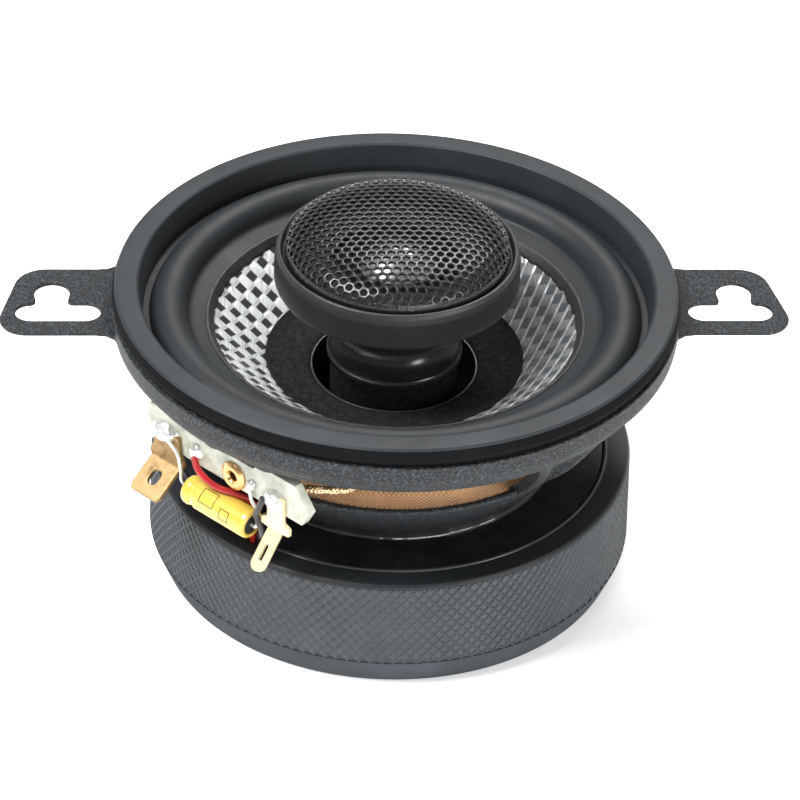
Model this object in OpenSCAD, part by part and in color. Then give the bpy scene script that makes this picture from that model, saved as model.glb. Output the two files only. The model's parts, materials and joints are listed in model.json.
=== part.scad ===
// Coaxial car speaker, 3.5 inch class.
// Origin: centre of the flat base of the motor boot. +Z points out of the cone, +X to the right ear.

/* [Motor] */
// Outer radius of the knurled boot
boot_r = 39.9; // [39.5:0.1:41]
// Height of the boot's top rim, level with the front plate
boot_h = 20.3; // [20.3:0.1:20.6]
// Inner radius of the boot
boot_inner_r = 35.1; // [35.1:0.1:35.6]
// Radius of the front plate
plate_r = 35.0; // [34.6:0.1:35]
// Outer radius of the ferrite magnet
magnet_r = 33.6; // [30:0.1:34]
// Radius of the pole inside the coil
pole_r = 12.7; // [12.4:0.05:12.8]

/* [Frame] */
// Outer radius of the basket's rim
rim_r = 45.7; // [45.4:0.1:46]
// Height of the top face of the mounting ears
ear_top_z = 45.7; // [45.5:0.1:45.9]
// Thickness of the mounting ears
ear_t = 0.8; // [0.7:0.1:1]
// Distance between the centres of the two ear slots
slot_spacing = 108.8; // [108:0.1:109.4]
// End-to-end length of an ear slot
slot_length = 13.6; // [12.6:0.1:13.8]
// Width of an ear slot
slot_width = 4.9; // [4.5:0.1:5]
// Angle of the first spoke from +X
spoke_angle = 52; // [50:1:54]
// Half of the angle that a spoke covers
spoke_half_angle = 8; // [6:1:10]

/* [Cone] */
// Outer radius of the woven cone
cone_r = 30.3; // [30.2:0.1:30.4]
// Height of the cone's outer edge
cone_top_z = 44; // [43.8:0.1:44.2]
// Inner radius of the woven cone, where the collar starts
cone_neck_r = 20.2; // [20:0.1:20.4]
// Height of the cone's neck
cone_neck_z = 36.7; // [36.5:0.1:36.9]
// Inner radius of the coil former
former_r = 13.3; // [13.25:0.05:13.4]

/* [Front ring] */
// Outer radius of the gasket's top face
gasket_r = 45; // [44.8:0.1:45.2]
// Height of the gasket's top face
gasket_top_z = 51.4; // [51.2:0.1:51.6]

/* [Tweeter] */
// Outer radius of the tweeter housing
housing_r = 19.8; // [19.5:0.1:20]
// Height of the housing's top rim
housing_top_z = 58.1; // [58:0.1:58.4]
// Radius of the perforated grille
grille_r = 18.2; // [18:0.1:18.3]
// Height of the grille's crown above its base
grille_rise = 5.6; // [5:0.1:6]

/* [Terminals] */
// Direction that the terminal board faces
board_angle = -135; // [-137:1:-133]
// Distance of the board's front face from the speaker's axis
board_n = 40; // [39.8:0.1:40.2]

/* [Hidden] */
$fn = 96;
eps = 0.01;

// Motor stack, from the boot's floor upwards
boot_floor_t = 2.4;
back_plate_r = 34.4;
back_plate_top = 7.4;
magnet_top = 16.2;
magnet_hole_r = 18;
plate_top = boot_h - 0.1;
gap_outer_r = 14.9;
wire_angle = -129;
wire_bore_x = 4.6;
wire_bore_r = 1.6;
screw_r = 1.5;

// Basket
sheet_t = 1.5;
basket_hole_r = 17;
base_r = 25.6;
ledge_r = 34.1;
ledge_z = 30.4;
window_low_z = 31.3;
window_high_z = 41.9;
window_high_r = 43.5;
shelf_r = 40;
ear_low_z = ear_top_z - ear_t;
slot_x = slot_spacing / 2;
branch_x = 55.5;
branch_y = 5.45;
branch_r = 2.85;
branch_neck = 5.2;
bracket_low_z = 33.6;
bracket_high_z = 42.4;
bracket_s0 = -1;
bracket_s1 = 8.5;

// Soft parts
surround_t = 0.6;
roll_r = 3.15;
roll_centre_r = 36.7;
spider_t = 0.6;
spider_z = ledge_z + 0.05;
spider_rolls = 5;
spider_wave = 0.75;

// Tweeter
yoke_floor_z = 48.2;
dome_r = 6.6;
dome_seat_z = 55.0;
well_r = 9.9;
well_z = 46.3;
post_flange_z = 39.3;

// Terminal board, in its own axes: s along the board, n outwards, z up
board_t = 1.6;
board_low_z = 33.3;
board_high_z = 40.1;
board_s0 = -16.5;
board_s1 = 18;
big_s = -11.45;
small_s = 12.35;
tab_t = 0.8;
eyelet_s = 2.8;
eyelet_z = 35.4;
eyelet_bore_r = 1.25;
cap_r = 2.5;
cap_n = 40.6;
cap_z = 28.4;
cap_s0 = -6.4;
cap_s1 = 7.4;
lead_r = 0.3;
wire_r = 0.55;
tinsel_r = 0.55;

// Points of a circular arc from angle a0 to a1
function arc(cx, cy, r, a0, a1, n = 12) =
    [for (i = [0:n]) [cx + r * cos(a0 + (a1 - a0) * i / n), cy + r * sin(a0 + (a1 - a0) * i / n)]];

// A point on the terminal board's axes, turned into the speaker's frame
function board_point(s, n, z) =
    [n * cos(board_angle) - s * sin(board_angle), n * sin(board_angle) + s * cos(board_angle), z];

// Children drawn with x along the board, y outwards from the speaker's axis and z up
module on_board() {
    multmatrix([
        [-sin(board_angle), cos(board_angle), 0, 0],
        [cos(board_angle), sin(board_angle), 0, 0],
        [0, 0, 1, 0],
        [0, 0, 0, 1]])
    children();
}

module ring(inner, outer, low, high) {
    translate([0, 0, low])
        difference() {
            cylinder(r = outer, h = high - low);
            translate([0, 0, -1]) cylinder(r = inner, h = high - low + 2);
        }
}

// Unit vector and frame helpers for the swept tubes
function unit(v) = v / norm(v);
function tangent(p, i) = unit(p[min(i + 1, len(p) - 1)] - p[max(i - 1, 0)]);
function side_of(t) = unit(cross(t, abs(t[2]) > 0.9 ? [1, 0.3, 0] : [0, 0, 1]));
// Catmull-Rom point between p1 and p2
function spline(p0, p1, p2, p3, t) =
    0.5 * ((2 * p1) + (p2 - p0) * t + (2 * p0 - 5 * p1 + 4 * p2 - p3) * t * t
    + (3 * p1 - p0 - 3 * p2 + p3) * t * t * t);
function smooth_path(p, n) = concat(
    [for (i = [0:len(p) - 2]) for (j = [0:n - 1])
        spline(p[max(i - 1, 0)], p[i], p[i + 1], p[min(i + 2, len(p) - 1)], j / n)],
    [p[len(p) - 1]]);
// Carries each ring's side vector along the path, so the tube never twists
function carry(p, i, u) =
    i >= len(p) ? [] :
    let (t = tangent(p, i), v = unit(u - (u * t) * t))
    concat([v], carry(p, i + 1, v));

module tube(points, r, per_span = 3, sides = 8) {
    p = smooth_path(points, per_span);
    u = carry(p, 0, side_of(tangent(p, 0)));
    last = len(p) - 1;
    verts = concat(
        [for (i = [0:last]) let (w = cross(tangent(p, i), u[i])) for (k = [0:sides - 1])
            p[i] + r * cos(360 * k / sides) * u[i] + r * sin(360 * k / sides) * w],
        [p[0], p[last]]);
    walls = [for (i = [0:last - 1]) for (k = [0:sides - 1])
        let (a = i * sides + k, b = i * sides + (k + 1) % sides)
        each [[a, a + sides, b], [b, a + sides, b + sides]]];
    start_cap = [for (k = [0:sides - 1]) [len(verts) - 2, k, (k + 1) % sides]];
    end_cap = [for (k = [0:sides - 1])
        [len(verts) - 1, last * sides + (k + 1) % sides, last * sides + k]];
    polyhedron(points = verts, faces = concat(walls, start_cap, end_cap));
}

// ---- Motor ----

module motor_boot() {
    color([0.16, 0.17, 0.18])
    difference() {
        rotate_extrude()
            polygon([[0, 0], [boot_r - 1.9, 0], [boot_r, 4.9], [boot_r - 0.35, boot_h - 0.5],
                [boot_r - 0.8, boot_h], [boot_inner_r, boot_h], [boot_inner_r, boot_floor_t],
                    [0, boot_floor_t]]);
        rotate([0, 0, wire_angle])
            translate([boot_inner_r - 1, -1.5, boot_floor_t]) cube([2.9, 3, boot_h]);
    }
}

module back_plate() {
    color([0.55, 0.56, 0.58])
    difference() {
        union() {
            translate([0, 0, boot_floor_t])
                cylinder(r = back_plate_r, h = back_plate_top - boot_floor_t);
            translate([0, 0, back_plate_top - eps])
                cylinder(r = pole_r, h = plate_top - back_plate_top + eps);
        }
        translate([0, 0, -1]) cylinder(r = screw_r + 0.1, h = 30);
        translate([0, 0, -1]) cylinder(r = 3.1, h = boot_floor_t + 3.1);
        rotate([0, 0, wire_angle]) {
            translate([wire_bore_x, 0, -1]) cylinder(r = wire_bore_r, h = 30);
            translate([wire_bore_x, -1.5, boot_floor_t - 1]) cube([boot_r, 3, 2.6]);
        }
    }
}

module magnet() {
    color([0.2, 0.2, 0.21]) ring(magnet_hole_r, magnet_r, back_plate_top, magnet_top);
}

module front_plate() {
    color([0.06, 0.06, 0.07]) ring(gap_outer_r, plate_r, magnet_top, plate_top);
}

module post_screw() {
    color([0.75, 0.75, 0.76]) {
        translate([0, 0, boot_floor_t + 0.1]) cylinder(r = 2.8, h = 1.9 + eps);
        translate([0, 0, boot_floor_t + 2]) cylinder(r = screw_r, h = 31.6);
    }
}

// ---- Frame ----

function ear_outline() = concat(
    [[42, 15.6], [43.5, 14.8], [44.7, 13.2], [46.4, 12.3]],
    arc(56.6, 7.2, 5.1, 90, 15, 8),
    arc(59.4, -1.6, 4.35, 15, -90, 10),
    [[46.8, -5.95], [45.5, -7.1], [44.6, -9.3], [42, -10]]);

module ear() {
    difference() {
        translate([0, 0, ear_low_z]) linear_extrude(ear_t) polygon(ear_outline());
        translate([0, 0, ear_low_z - 1]) {
            for (x = [-1, 1])
                translate([slot_x + x * (slot_length - slot_width) / 2, 0, 0])
                    cylinder(r = slot_width / 2, h = ear_t + 2);
            translate([slot_x - (slot_length - slot_width) / 2, -slot_width / 2, 0])
                cube([slot_length - slot_width, slot_width, ear_t + 2]);
            translate([branch_x, branch_y, 0]) cylinder(r = branch_r, h = ear_t + 2);
            translate([branch_x - branch_neck / 2, 0, 0]) cube([branch_neck, branch_y, ear_t + 2]);
        }
        translate([0, 0, ear_low_z - 1]) cylinder(r = rim_r - 1, h = ear_t + 2);
    }
}

// The pressed bowl's section, from the base flange up to the rim's lip
function bowl_section() = [
    [basket_hole_r, plate_top], [base_r, plate_top], [base_r + 1.2, plate_top + 0.5],
    [ledge_r, ledge_z - 0.2], [ledge_r + 0.5, ledge_z + 0.7],
    [window_high_r + 0.1, window_high_z + 0.15], [rim_r - 0.5, ear_top_z - 1.2], [rim_r, ear_top_z],
    [rim_r, 48], [rim_r - 1.4, 48], [rim_r - 1.4, ear_top_z], [shelf_r, ear_top_z],
    [shelf_r, ear_top_z - sheet_t], [window_high_r - 0.6, ear_top_z - sheet_t],
    [window_high_r - 1.6, window_high_z + 0.3], [ledge_r - 0.4, ledge_z + 1.2],
    [ledge_r - 0.7, ledge_z], [ledge_r - 3.6, ledge_z], [ledge_r - 3.6, ledge_z - 1.2],
    [ledge_r - 1.9, ledge_z - 1.4], [base_r + 0.4, plate_top + sheet_t],
        [basket_hole_r, plate_top + sheet_t]];

module window_cut(from, to) {
    rotate([0, 0, from]) rotate_extrude(angle = to - from)
        translate([ledge_r - 1, window_low_z])
            square([rim_r - ledge_r, window_high_z - window_low_z]);
}

module basket() {
    h = spoke_half_angle;
    a = spoke_angle;
    color([0.22, 0.23, 0.24]) {
        difference() {
            rotate_extrude() polygon(bowl_section());
            window_cut(a + h, 180 - a - h);
            window_cut(180 + a + h, 360 - a - h);
            window_cut(-a + h, a - h);
            window_cut(180 - a + h, 180 + a - h);
            // Room for the board, which stands on a bracket of its own
            on_board() translate([board_s0 - 1.3, board_n - board_t - 0.06, window_low_z - 0.5])
                cube([board_s1 - board_s0 + 4, 10, board_high_z + 1 - window_low_z]);
            eyelet_bore(board_n - 8, 8);
        }
        ear();
        mirror([1, 0, 0]) ear();
        terminal_bracket();
    }
}

// The flat that the board is riveted to, and its foot on the upper ring
module terminal_bracket() {
    back_n = board_n - board_t - 2;
    difference() {
        on_board() {
            translate([bracket_s0, back_n, bracket_low_z])
                cube([bracket_s1 - bracket_s0, 2, bracket_high_z - bracket_low_z]);
            translate([bracket_s0, back_n + 1, board_high_z + 0.3])
                cube([bracket_s1 - bracket_s0, 4.4, bracket_high_z - board_high_z - 0.3]);
        }
        eyelet_bore(back_n - 1, 4);
    }
}

// The round bore that the eyelet goes through, from a distance out from the axis
module eyelet_bore(from, depth) {
    on_board() translate([eyelet_s, from, eyelet_z]) rotate([-90, 0, 0]) cylinder(r = eyelet_bore_r,
        h = depth);
}

// Four bosses of the front plate, upset over the basket's floor
module basket_stakes() {
    color([0.1, 0.1, 0.11])
    for (a = [45:90:315]) rotate([0, 0, a])
        translate([22, 0, plate_top + sheet_t]) {
            cylinder(r = 2.1, h = 0.5);
            translate([0, 0, 0.5 - eps]) cylinder(r1 = 2.1, r2 = 1.3, h = 0.5);
        }
}

module base_glue_bead() {
    color([0.05, 0.05, 0.06])
    rotate_extrude() polygon([[base_r + 0.1, plate_top], [base_r + 2, plate_top],
        [base_r + 1.85, plate_top + 0.4],
        [base_r + 1.5, plate_top + 0.52], [base_r + 1.22, plate_top + 0.48]]);
}

module gasket_ring() {
    color([0.2, 0.21, 0.22])
    rotate_extrude()
        polygon(concat([[40.6, 46.35], [rim_r - 1.5, 46.35], [rim_r - 1.5, 48.05], [rim_r + 0.1, 48.05],
            [rim_r + 0.1, 49.7]], arc(gasket_r - 0.2, gasket_top_z - 1, 1, 15, 90, 5),
            arc(41.9, gasket_top_z - 0.5, 0.5, 90, 170, 3), [[40.7, 47.6]]));
}

// ---- Moving cone and its suspension ----

module surround() {
    z = ear_top_z + 0.03;
    color([0.2, 0.21, 0.22])
    rotate_extrude()
        polygon(concat(
            [[44, z], [44, z + surround_t]], arc(roll_centre_r, z - 0.4, roll_r, 18, 162, 20),
            [[33.2, z - 0.2], [cone_r + 0.25, cone_top_z + 0.65], [cone_r + 0.25, cone_top_z + 0.05],
                [33.4, z - surround_t - 0.2]],
            arc(roll_centre_r, z - 0.4, roll_r - surround_t, 168, 5, 20), [[39.9, z]]));
}

function spider_height(r) = spider_z + spider_wave * (1 + cos(360 * spider_rolls * (r - 15.5) / 14)) / 2;

module spider() {
    steps = 40;
    inner = 15.5;
    outer = 29.5;
    top = [for (i = [0:steps]) let (r = inner + (outer - inner) * i / steps) [r,
        spider_height(r) + spider_t]];
    low = [for (i = [steps:-1:0]) let (r = inner + (outer - inner) * i / steps) [r, spider_height(r)]];
    color([0.55, 0.33, 0.2])
    rotate_extrude()
        polygon(concat([[former_r + 0.33, spider_z + 0.8]], [[former_r + 0.33, spider_z + 1.4]], top,
            [[ledge_r - 0.75, spider_z + spider_t], [ledge_r - 0.75, spider_z]], low));
}

module cone() {
    color([0.75, 0.76, 0.77])
    rotate_extrude()
        polygon([[cone_r, cone_top_z], [cone_neck_r, cone_neck_z], [cone_neck_r, cone_neck_z - 0.4],
            [cone_r + 0.2, cone_top_z - 0.4], [33, cone_top_z + 0.35], [33, cone_top_z + 0.7],
            [cone_r + 0.2, cone_top_z]]);
}

module cone_glue_ring() {
    color([0.1, 0.1, 0.1])
    rotate_extrude()
        polygon([[cone_r - 0.95, cone_top_z - 0.65], [cone_r, cone_top_z + 0.04],
            [cone_r + 0.15, cone_top_z + 0.04],
            [cone_r + 0.15, cone_top_z + 0.6], [cone_r - 0.2, cone_top_z + 0.5]]);
}

module cone_collar() {
    color([0.07, 0.07, 0.07])
    rotate_extrude()
        polygon([[cone_neck_r + 0.6, cone_neck_z + 0.5], [former_r + 0.55, 35.35], [former_r + 0.33, 35.1],
            [former_r + 0.33, 34.2], [former_r + 0.9, 34.4], [cone_neck_r - 0.02, cone_neck_z - 0.3],
            [cone_neck_r - 0.02, cone_neck_z + 0.08]]);
}

module coil_former() {
    color([0.8, 0.8, 0.8]) ring(former_r, former_r + 0.3, 13.4, 35.45);
}

module voice_coil() {
    color([0.72, 0.4, 0.2]) ring(former_r + 0.31, former_r + 0.9, 14.2, 22.2);
}

// ---- Tweeter ----

module tweeter_post() {
    color([0.12, 0.12, 0.13])
    difference() {
        rotate_extrude()
            polygon(concat([[0, plate_top], [10.4, plate_top], [10.4, 37.4], [11.1, 38.2],
                [11.1, post_flange_z],
                [10.6, post_flange_z]], arc(10.7, 42.6, 3.1, 265, 180, 8), arc(10.7, 43.2, 3.1, 180, 105, 8),
                [[0, well_z]]));
        translate([0, 0, plate_top - 1]) cylinder(r = screw_r + 0.02, h = 17.05);
        rotate([0, 0, wire_angle]) translate([wire_bore_x, 0, plate_top - 1]) cylinder(r = wire_bore_r,
            h = 40);
    }
}

module tweeter_housing() {
    color([0.2, 0.21, 0.22])
    difference() {
        rotate_extrude()
            polygon(concat([[0, well_z], [well_r, well_z], [well_r + 0.7, 49.4], [15.5, 50.4], [18.6, 51.3],
                [19.5, 51.9], [housing_r, 52.8], [housing_r - 0.1, 56.6], [housing_r - 0.5, housing_top_z],
                [housing_r - 1.35, housing_top_z], [housing_r - 1.45, 57.1], [housing_r - 2.6, 57.1],
                [housing_r - 2.6, 54.4], [8.75, 54.4], [8.75, yoke_floor_z - 0.05],
                    [0, yoke_floor_z - 0.05]]));
        rotate([0, 0, wire_angle]) translate([wire_bore_x, 0, well_z - 1]) cylinder(r = wire_bore_r, h = 6);
    }
}

module tweeter_yoke() {
    color([0.6, 0.6, 0.62])
    difference() {
        translate([0, 0, yoke_floor_z - 0.04]) cylinder(r = 8.7, h = 6.4);
        translate([0, 0, yoke_floor_z + 1.3]) cylinder(r = 7.4, h = 8);
        rotate([0, 0, wire_angle]) translate([wire_bore_x + 2.4, 0, yoke_floor_z - 1]) cylinder(r = 1.0,
            h = 9);
    }
}

module tweeter_magnet() {
    color([0.8, 0.8, 0.82]) translate([0, 0, yoke_floor_z + 1.31]) cylinder(r = 5.6, h = 2.8);
}

module tweeter_pole_piece() {
    color([0.6, 0.6, 0.62]) translate([0, 0, yoke_floor_z + 4.12]) cylinder(r = 6.15, h = 1.9);
}

module tweeter_coil() {
    color([0.72, 0.4, 0.2]) ring(dome_r - 0.1, dome_r + 0.3, dome_seat_z - 2.7, dome_seat_z);
}

module tweeter_dome() {
    ball = 8.2;
    drop = sqrt(ball * ball - dome_r * dome_r);
    t = 0.15;
    edge = asin(dome_r / ball);
    color([0.85, 0.86, 0.88])
    rotate_extrude()
        polygon(concat(
            [for (i = [0:12]) [ball * sin(edge * i / 12),
                dome_seat_z + 0.2 - drop + ball * cos(edge * i / 12)]],
            arc(dome_r + 1.1, dome_seat_z + 0.3, 0.75, 170, 10, 8), [[9.7, dome_seat_z + 0.25],
                [9.7, dome_seat_z + 0.05]],
            arc(dome_r + 1.1, dome_seat_z + 0.15, 0.75, 10, 170, 8),
            [[dome_r, dome_seat_z + 0.02]],
            [for (i = [12:-1:0]) [(ball - t) * sin(edge * i / 12),
                dome_seat_z + 0.2 - drop + (ball - t) * cos(edge * i / 12)]]));
}

module tweeter_clamp_ring() {
    color([0.1, 0.1, 0.1])
    rotate_extrude() polygon([[10.2, 54.45], [17.1, 54.45], [17.1, 56.2], [12.5, 56.2], [10.2, 55.9]]);
}

module tweeter_damping_pad() {
    color([0.35, 0.35, 0.36]) translate([0, 0, yoke_floor_z + 6.05]) cylinder(r = 4.6, h = 0.9);
}

module tweeter_grille() {
    // Flat-topped dome section: outer skin out and back along the inner skin
    t = 0.5;
    n = 16;
    base_z = 57.12;
    color([0.15, 0.15, 0.16])
    rotate_extrude()
        polygon(concat(
            [for (i = [0:n]) let (a = 90 * i / n)
                [grille_r * pow(sin(a), 0.72), base_z + grille_rise * pow(cos(a), 0.72)]],
            [for (i = [n:-1:0]) let (a = 90 * i / n)
                [(grille_r - t) * pow(sin(a), 0.72), base_z + (grille_rise - t) * pow(cos(a), 0.72)]]));
}

// ---- Terminals and crossover ----

module terminal_board() {
    color([0.83, 0.83, 0.76])
    on_board() difference() {
        translate([0, board_n, 0]) rotate([90, 0, 0]) linear_extrude(board_t)
            polygon([[board_s0, board_low_z + 1], [board_s0 + 1, board_low_z], [board_s1 - 0.6, board_low_z],
                [board_s1 + 0.9, board_low_z + 2.9], [board_s1 - 2.2, board_high_z],
                    [board_s0 + 0.6, board_high_z],
                [board_s0, board_high_z - 0.6]]);
        translate([eyelet_s, board_n + 1, eyelet_z]) rotate([90, 0, 0]) cylinder(r = eyelet_bore_r, h = 4);
    }
}

// A tab terminal: root on the board, shoulders, then a blade bent outwards
module tab_terminal(s, root_w, shoulder_w, blade_w, shoulder_z, blade_l, lean) {
    on_board() translate([s, board_n + 0.02, 0]) {
        translate([-root_w / 2, 0, shoulder_z]) cube([root_w, tab_t, 36.6 - shoulder_z]);
        translate([-shoulder_w / 2, 0, shoulder_z - 0.2]) cube([shoulder_w, tab_t, 1.4]);
        translate([0, tab_t / 2, shoulder_z]) rotate([lean, 0, 0]) translate([0, -tab_t / 2, -blade_l])
            children();
    }
}

module positive_terminal() {
    w = 6.3;
    l = 7.6;
    color([0.8, 0.66, 0.36])
    tab_terminal(big_s, 5.6, 7.3, w, 31.3, l, 54)
        difference() {
            translate([-w / 2, 0, 0]) cube([w, tab_t, l + 0.4]);
            for (x = [-1, 1]) translate([0, 2, 3.4 + x * 0.45]) rotate([90, 0, 0]) cylinder(r = 0.95, h = 4);
            translate([-0.95, -1, 2.95]) cube([1.9, 3, 0.9]);
        }
}

module negative_terminal() {
    w = 2.8;
    l = 7.8;
    color([0.88, 0.8, 0.56])
    tab_terminal(small_s, 3.4, 6, w, 30.4, l, 39)
        difference() {
            union() {
                translate([-w / 2, 0, w / 2]) cube([w, tab_t, l - w / 2 + 0.4]);
                translate([0, tab_t, w / 2]) rotate([90, 0, 0]) cylinder(r = w / 2, h = tab_t);
            }
            translate([-0.4, -1, 1.6]) cube([0.8, 3, 3]);
        }
}

module board_eyelet() {
    color([0.8, 0.6, 0.36])
    on_board() translate([eyelet_s, 0, eyelet_z]) rotate([-90, 0, 0])
        rotate_extrude()
            polygon([[0.85, 36.2], [1.22, 36.2], [1.22, board_n + 0.02], [2.5, board_n + 0.02],
                [2.5, board_n + 0.35], [1.9, board_n + 0.7], [1.2, board_n + 0.7], [0.85, board_n + 0.3]]);
}

module solder_joints() {
    blobs = [[big_s - 1.2, 35.9, 2.2], [-5.5, 35.4, 1.4], [small_s, 35.2, 1.9], [6.7, 35.7, 1.0]];
    color([0.86, 0.86, 0.84])
    on_board() for (b = blobs)
        intersection() {
            translate([b[0], board_n - 0.1, b[1]]) scale(b[2]) sphere(r = 1, $fn = 24);
            translate([b[0] - 3, board_n + 0.03, b[1] - 3]) cube([6, 1.6, 6]);
        }
}

module crossover_capacitor() {
    color([0.95, 0.78, 0.15])
    on_board() translate([cap_s0, cap_n, cap_z]) rotate([0, 90, 0])
        rotate_extrude()
            polygon([[0, 0], [cap_r - 0.7, 0], [cap_r - 0.1, 0.35], [cap_r, 1.2], [cap_r - 0.35, 2],
                [cap_r, 2.8], [cap_r, cap_s1 - cap_s0 - 0.6], [cap_r - 0.5, cap_s1 - cap_s0],
                [cap_r - 0.9, cap_s1 - cap_s0 - 0.2], [0, cap_s1 - cap_s0 - 0.2]]);
}

module capacitor_leads() {
    color([0.8, 0.8, 0.8]) {
        tube([board_point(cap_s0 + 0.3, cap_n, cap_z), board_point(cap_s0 - 0.9, cap_n, cap_z),
            board_point(-7.6, cap_n + 0.7, 29.8), board_point(-7.6, cap_n + 1, 32.4),
            board_point(-8.6, cap_n + 0.8, 34.6), board_point(-11.3, cap_n + 0.6, 35.9)], lead_r, 4);
        tube([board_point(cap_s1 - 0.5, cap_n, cap_z), board_point(cap_s1 + 0.7, cap_n - 0.1, cap_z + 0.1),
            board_point(7.9, cap_n - 0.7, 30.6), board_point(7.1, cap_n - 0.1, 33),
            board_point(6.8, cap_n, 34.7), board_point(6.6, cap_n - 0.2, 35.6)], lead_r, 4);
    }
}

// The wires' common way: down the boot's channel, under the back plate and up the bore to the tweeter
function motor_run(y) = [for (p = [[36.1, 22.6], [36.0, 19], [36.0, 12], [35.9, 6], [35.2, 3.4], [33, 3.1],
        [26, 3.1],
        [18, 3.1], [11, 3.1], [6.6, 3.1], [5.3, 3.6], [wire_bore_x, 5.5], [wire_bore_x, 8], [wire_bore_x, 15],
        [wire_bore_x, 24], [wire_bore_x, 34], [wire_bore_x, 44], [wire_bore_x, 47.9]])
    [p[0] * cos(wire_angle) - y * sin(wire_angle), p[0] * sin(wire_angle) + y * cos(wire_angle), p[1]]];

module red_tweeter_wire() {
    color([0.75, 0.1, 0.1])
    tube(concat([board_point(-5.2, 40.9, 35.2), board_point(-3.4, 41.6, 33.8), board_point(-0.6, 41.1, 32.2),
        board_point(2.2, 39.6, 31.4), board_point(4.2, 38.2, 30.4), board_point(5.2, 37.3, 28.4),
        board_point(4.9, 36.9, 26), board_point(4.1, 36.5, 24.4)], motor_run(-0.7)), wire_r, 3);
}

module black_tweeter_wire() {
    color([0.08, 0.08, 0.08])
    tube(concat([board_point(10.3, 41.3, 35.6), board_point(9.7, 41.5, 33.7), board_point(8.75, 41.2, 31.4),
        board_point(8.95, 40.2, 28.4), board_point(8.2, 39.2, 25.9), board_point(6.4, 37.6, 24)],
        motor_run(0.7)), wire_r, 3);
}

module tinsel_leads() {
    color([0.85, 0.7, 0.5]) {
        for (side = [-1, 1])
            tube([board_point(side * 14.4, 37.8, 37.9), board_point(side * 16.4, 37.1, 38.4),
                board_point(side * 19, 34.6, 38.3), board_point(side * 19.6, 31.2, 37.2),
                board_point(side * 18.4, 26.6, 36.4), board_point(side * 15.6, 21.6, 36.3),
                board_point(side * 12.9, 18.3, 36.9)], tinsel_r, 5);
    }
}

motor_boot();
back_plate();
magnet();
front_plate();
post_screw();
basket();
basket_stakes();
base_glue_bead();
gasket_ring();
surround();
spider();
cone();
cone_glue_ring();
cone_collar();
coil_former();
voice_coil();
tweeter_post();
tweeter_housing();
tweeter_grille();
tweeter_yoke();
tweeter_magnet();
tweeter_pole_piece();
tweeter_coil();
tweeter_dome();
tweeter_clamp_ring();
tweeter_damping_pad();
terminal_board();
positive_terminal();
negative_terminal();
board_eyelet();
solder_joints();
crossover_capacitor();
capacitor_leads();
red_tweeter_wire();
black_tweeter_wire();
tinsel_leads();
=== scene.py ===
"""Looks of a coaxial car speaker, built around its CAD frame."""

import json
import math
from math import cos, pi, radians, sin

import bmesh
import bpy
import numpy as np
from mathutils import Matrix, Vector, noise
from mathutils.geometry import tessellate_polygon

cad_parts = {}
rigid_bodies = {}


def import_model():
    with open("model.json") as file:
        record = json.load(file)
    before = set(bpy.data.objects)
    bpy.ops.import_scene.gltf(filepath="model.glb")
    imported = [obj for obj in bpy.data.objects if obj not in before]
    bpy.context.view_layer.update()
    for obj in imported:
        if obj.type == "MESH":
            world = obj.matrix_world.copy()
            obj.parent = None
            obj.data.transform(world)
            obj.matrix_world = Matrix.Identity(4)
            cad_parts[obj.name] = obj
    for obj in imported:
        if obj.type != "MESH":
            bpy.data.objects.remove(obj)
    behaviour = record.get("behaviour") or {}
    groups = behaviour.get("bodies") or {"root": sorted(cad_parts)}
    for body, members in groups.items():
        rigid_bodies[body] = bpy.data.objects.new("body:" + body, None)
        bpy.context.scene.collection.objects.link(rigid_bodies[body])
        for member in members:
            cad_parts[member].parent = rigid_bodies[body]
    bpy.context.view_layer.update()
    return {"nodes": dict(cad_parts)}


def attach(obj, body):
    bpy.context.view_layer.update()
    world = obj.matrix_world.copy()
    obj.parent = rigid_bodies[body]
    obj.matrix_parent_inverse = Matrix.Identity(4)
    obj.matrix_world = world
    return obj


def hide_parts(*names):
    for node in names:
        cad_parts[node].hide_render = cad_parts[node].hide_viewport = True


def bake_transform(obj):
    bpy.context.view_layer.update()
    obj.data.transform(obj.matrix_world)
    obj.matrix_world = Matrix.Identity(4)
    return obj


bl_info = {
    "name": "Coaxial car speaker",
    "version": (1, 0, 0),
    "blender": (4, 5, 0),
    "location": "View3D > Sidebar > Speaker",
    "description": "Builds the finished pieces of a coaxial car speaker around its frame",
    "category": "Object",
}

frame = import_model()
MM = 0.001


# ---------------------------------------------------------------- properties


class SpeakerSizes(bpy.types.PropertyGroup):
    """Sizes that shape the finished pieces"""

    knurl_columns: bpy.props.IntProperty(
        name="Knurl columns", description="Diamonds around the boot", default=136, min=40, max=200)
    knurl_rows: bpy.props.IntProperty(
        name="Knurl rows", description="Full diamonds up the boot", default=7, min=3, max=12)
    knurl_depth: bpy.props.FloatProperty(
        name="Knurl depth", description="Depth of each diamond", default=0.22 * MM, unit="LENGTH")
    hole_pitch: bpy.props.FloatProperty(
        name="Hole pitch", description="Spacing of the grille's holes", default=1.56 * MM, unit="LENGTH")
    hole_radius: bpy.props.FloatProperty(
        name="Hole radius", description="Radius of a grille hole", default=0.55 * MM, unit="LENGTH")
    strand_pitch: bpy.props.FloatProperty(
        name="Strand pitch", description="Spacing of the cone's strands", default=1.9 * MM, unit="LENGTH")
    strand_angle: bpy.props.FloatProperty(
        name="Strand angle", description="Direction of the bright strands", default=radians(62),
        subtype="ANGLE")
    spider_rolls: bpy.props.IntProperty(
        name="Spider rolls", description="Corrugations of the spider", default=5, min=3, max=8)


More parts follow.
